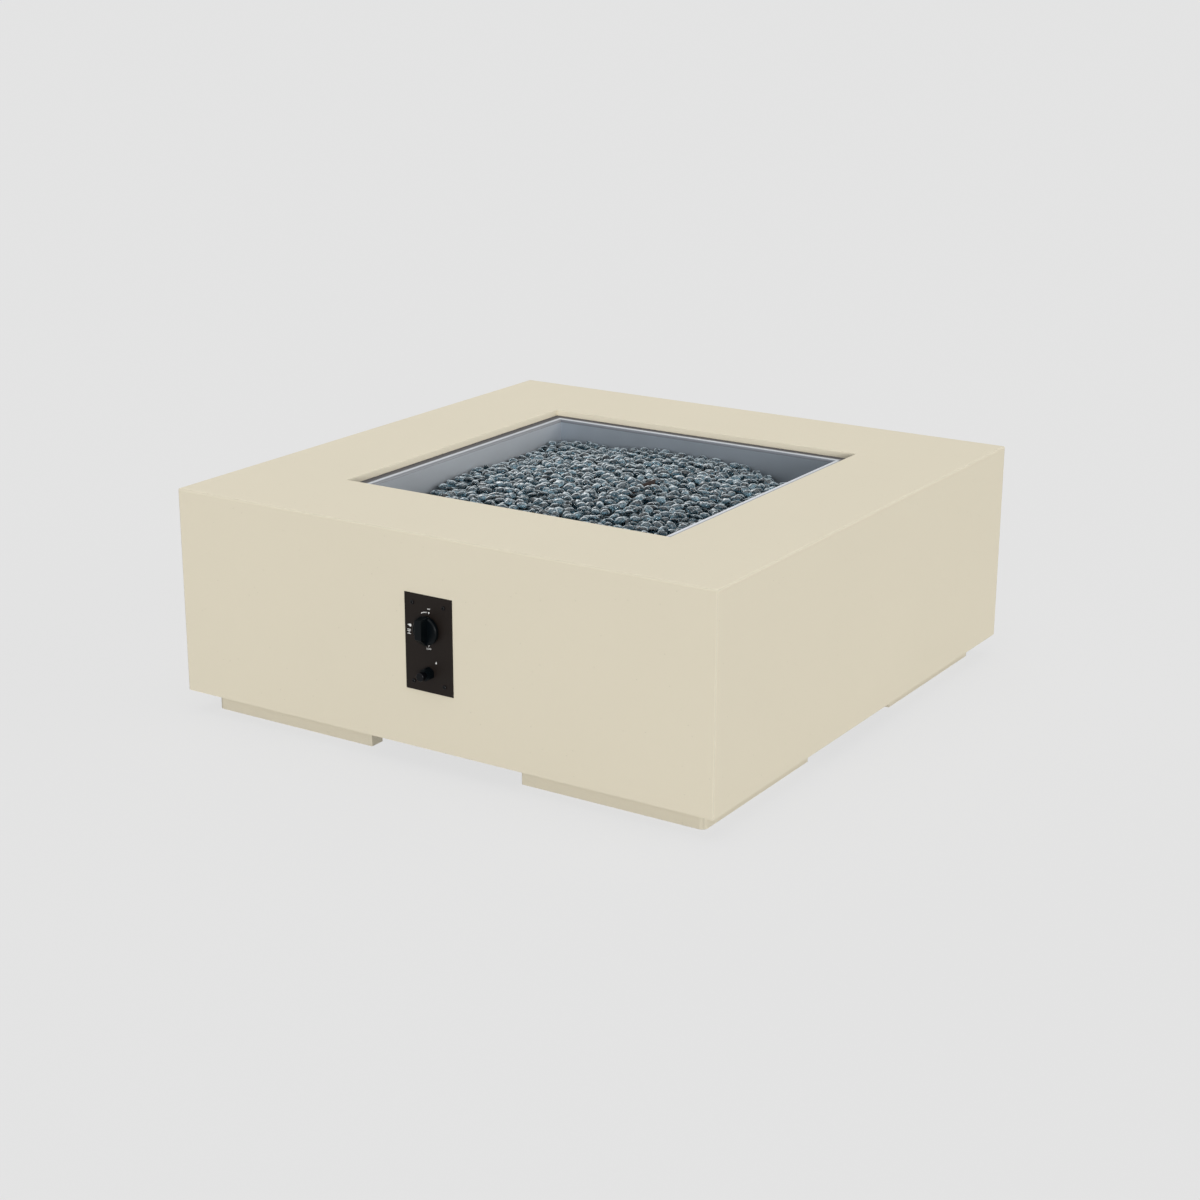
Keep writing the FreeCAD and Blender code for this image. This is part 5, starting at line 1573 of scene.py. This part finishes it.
@dataclass
class Line:
    """A hose or lead between two fittings: its route in millimetres, and its facts."""

    name: str
    node: str
    slot: Slot
    diameter: float
    length: float
    stiffness: str
    route: tuple[Point, ...]
    curve_steps: int = 24
    curve_order: int = 3
    roundness: int = 4
    ring_sides: int = 14

    def curve(self) -> bpy.types.Object:
        """The route as one smooth spline, without thickness.

        Returns:
            The new object.
        """
        data = bpy.data.curves.new(self.name, "CURVE")
        data.dimensions = "3D"
        data.resolution_u = self.curve_steps
        spline = data.splines.new("NURBS")
        spline.points.add(len(self.route) - 1)
        for point, place in zip(spline.points, self.route):
            point.co = (*table_point(*place), 1.0)
        spline.order_u = self.curve_order
        spline.use_endpoint_u = True
        return place_in_scene(self.name, data)

    def build_plain(self, material: bpy.types.Material) -> None:
        """A round lead.

        Args:
            material: Its material.
        """
        piece = self.curve()
        piece.data.bevel_depth = self.diameter / 2
        piece.data.bevel_resolution = self.roundness
        piece.data.use_fill_caps = True
        add_piece(piece, "table", self.slot, material, self.node)

    def build_corrugated(self, material: bpy.types.Material, pitch: float, groove: float) -> None:
        """A corrugated metal hose.

        Args:
            material: Its material.
            pitch: From one ridge to the next, in metres.
            groove: The depth of a groove, in metres.
        """
        guide = self.curve()
        clear_selection()
        line = bpy.data.meshes.new_from_object(guide)
        path = np.array([vert.co[:] for vert in line.vertices])
        bpy.data.objects.remove(guide)
        steps = np.linalg.norm(np.diff(path, axis=0), axis=1)
        travelled = np.concatenate([[0], np.cumsum(steps)])
        count = int(travelled[-1] / pitch) * 2
        stations = np.linspace(0, travelled[-1], count + 1)
        middle = np.stack([np.interp(stations, travelled, path[:, k]) for k in range(3)], axis=1)
        heading = np.gradient(middle, axis=0)
        heading /= np.linalg.norm(heading, axis=1)[:, None]
        sides = self.ring_sides
        points: list[tuple[float, ...]] = []
        faces: list[list[int]] = []
        across = np.cross(heading[0], [0.0, 0.0, 1.0])
        for number in range(count + 1):
            across = across - heading[number] * np.dot(across, heading[number])
            across /= np.linalg.norm(across)
            other = np.cross(heading[number], across)
            radius = self.diameter / 2 - (groove if number % 2 else 0.0)
            for step in range(sides):
                angle = math.tau * step / sides
                out = math.cos(angle) * across + math.sin(angle) * other
                points.append(tuple(middle[number] + radius * out))
        for near in range(0, count * sides, sides):
            for step in range(sides):
                follow = near + (step + 1) % sides
                faces.append([near + step, follow, follow + sides, near + step + sides])
        faces.append(list(range(sides))[::-1])
        faces.append([count * sides + step for step in range(sides)])
        piece = smooth_piece(self.name, points, faces)
        add_piece(piece, "table", self.slot, material, self.node)


LINES = (
    Line(
        "burner_hose", "flex_hose", Slot.STAINLESS, 0.013, 0.827, "stiff",
        (
            (41, -491.4, 247), (113, -491.4, 247), (188, -447, 226), (232, -366, 190),
            (238, -270, 150), (206, -178, 112), (134, -106, 84), (54, -52, 78),
            (0, 0, 145), (0, 0, 217),
        ),
    ),
    Line(
        "spark_lead", "ignition_lead", Slot.LEAD_SLEEVE, 0.004, 0.586, "medium",
        (
            (0, -480.4, 173), (0, -436.4, 173), (12, -388, 158), (34, -336, 148),
            (62, -286, 146), (88, -234, 154), (104, -180, 168), (110, -126, 186),
            (106, -76, 206), (90, -34, 228), (64, -8, 250), (47, -2.5, 273), (47, -2.5, 303),
        ),
    ),
    Line(
        "sensor_lead", "thermocouple_lead", Slot.COPPER, 0.003, 0.531, "medium",
        (
            (0, -435.4, 247), (0, -395.4, 247), (-8, -344, 240), (-14, -294, 230),
            (-12, -240, 222), (2, -188, 218), (26, -140, 219), (50, -90, 224),
            (66, -36, 232), (66, 8, 246), (47, 31.5, 267), (47, 31.5, 301),
        ),
    ),
)


# Camera and light


@dataclass
class Camera:
    """The camera at the photograph's place."""

    azimuth: float = 32.7095
    elevation: float = 17.6527
    roll: float = 0.1581
    distance: float = 4.10174
    side_step: float = -0.01216
    rise: float = 0.14765
    lens: float = 66.958
    sensor: float = 36.0
    sight: float = 500.0

    def build(self) -> None:
        """Sets up the camera and makes it the scene's own."""
        azimuth, elevation, roll = (
            math.radians(angle) for angle in (self.azimuth, self.elevation, self.roll)
        )
        back = direction(azimuth, elevation)
        right = Vector((math.cos(azimuth), math.sin(azimuth), 0))
        up = back.cross(right)
        turned_right = right * math.cos(roll) + up * math.sin(roll)
        turned_up = up * math.cos(roll) - right * math.sin(roll)
        place = MIDDLE + back * self.distance
        place += turned_right * self.side_step + turned_up * self.rise
        data = bpy.data.cameras.new("camera")
        data.lens = self.lens
        data.sensor_width = self.sensor
        data.clip_end = self.sight
        camera = place_in_scene("camera", data)
        turn = Matrix((turned_right, turned_up, back)).transposed()
        camera.matrix_world = Matrix.Translation(place) @ turn.to_4x4()
        bpy.context.scene.camera = camera


@dataclass(frozen=True)
class Lamp:
    """A broad lamp far away: its place and the width that it is seen at, in degrees."""

    name: str
    strength: float
    azimuth: float
    elevation: float
    spread: float

    def build(self) -> None:
        """Hangs the lamp up, turned to the table."""
        data = bpy.data.lights.new(self.name, "SUN")
        data.energy = self.strength
        data.angle = math.radians(self.spread)
        towards = direction(math.radians(self.azimuth), math.radians(self.elevation))
        lamp = place_in_scene(self.name, data)
        lamp.rotation_euler = towards.to_track_quat("Z", "Y").to_euler()


@dataclass
class Studio:
    """A pale floor, an even sky, a low lamp and four broad ones."""

    backdrop: float = 0.776
    sky: float = 0.30
    floor_size: float = 160.0
    floor_greys: tuple[float, float] = (0.765, 0.775)
    floor_grain: float = 6.0
    floor_shadow: float = 0.10
    floor_bounce: float = 0.30
    lamps: tuple[Lamp, ...] = (
        Lamp("low_lamp", 1.88, 36.0, 5.0, 16.0),
        Lamp("front_lamp", 0.58, 12.0, 16.0, 40.0),
        Lamp("side_lamp", 0.98, 118.0, 16.0, 40.0),
        Lamp("back_lamp", 0.60, 235.0, 16.0, 40.0),
        Lamp("top_lamp", 1.31, 0.0, 84.0, 60.0),
    )

    def seen_plainly(self, graph: Graph) -> Wire:
        """1 for rays that show the background itself or its mirror image.

        Args:
            graph: The graph that asks for it.

        Returns:
            The mask.
        """
        camera, glossy, transmission = (
            graph.node("ShaderNodeLightPath", None, None, f"Is {kind} Ray")
            for kind in ("Camera", "Glossy", "Transmission")
        )
        return graph.clamp(camera + glossy + transmission)

    def floor(self) -> None:
        """A wide floor in the background's grey that keeps a soft shadow."""
        floor = start(bpy.ops.mesh.primitive_plane_add, "floor", size=self.floor_size)
        graph = Graph.of_material("floor")
        darker, lighter = ((grey,) * 3 for grey in self.floor_greys)
        matt, bounce = (
            graph.node("ShaderNodeBsdfDiffuse", None, {"Color": colour})
            for colour in (
                graph.mix(graph.noise(self.floor_grain), darker, lighter),
                (self.floor_bounce,) * 3,
            )
        )
        plain = graph.node(
            "ShaderNodeEmission", None, {"Color": (self.backdrop,) * 3, "Strength": 1.0}
        )
        seen = graph.mix_shaders(1 - self.floor_shadow, matt, plain)
        shown = graph.mix_shaders(self.seen_plainly(graph), bounce, seen)
        floor.data.materials.append(graph.close(shown))

    def world(self) -> None:
        """An even sky, and the background's grey where it is seen."""
        world = bpy.data.worlds.new("studio")
        bpy.context.scene.world = world
        graph = Graph(world)
        light, seen = (
            graph.node("ShaderNodeBackground", None, {"Color": (grey,) * 3, "Strength": strength})
            for grey, strength in ((1.0, self.sky), (self.backdrop, 1.0))
        )
        graph.close(graph.mix_shaders(self.seen_plainly(graph), light, seen))

    def build(self) -> None:
        """Sets up the floor, the sky and the lamps."""
        self.floor()
        self.world()
        for lamp in self.lamps:
            lamp.build()


def main() -> None:
    """Builds the sub-assemblies in order."""
    logging.basicConfig(level=logging.INFO, format="%(name)s: %(message)s")
    bpy.context.scene.view_settings.view_transform = "Standard"
    Camera().build()
    packed = PackedPieces()
    packed.dress()
    for spring in SPRINGS:
        spring.press()
    hose, *leads = LINES
    hose.build_corrugated(packed.finish(hose.slot), pitch=0.0035, groove=0.0009)
    for lead in leads:
        lead.build_plain(packed.finish(lead.slot))
    PanelPrint().build()
    FireGlass().build()
    Studio().build()


if __name__ == "__main__":
    main()
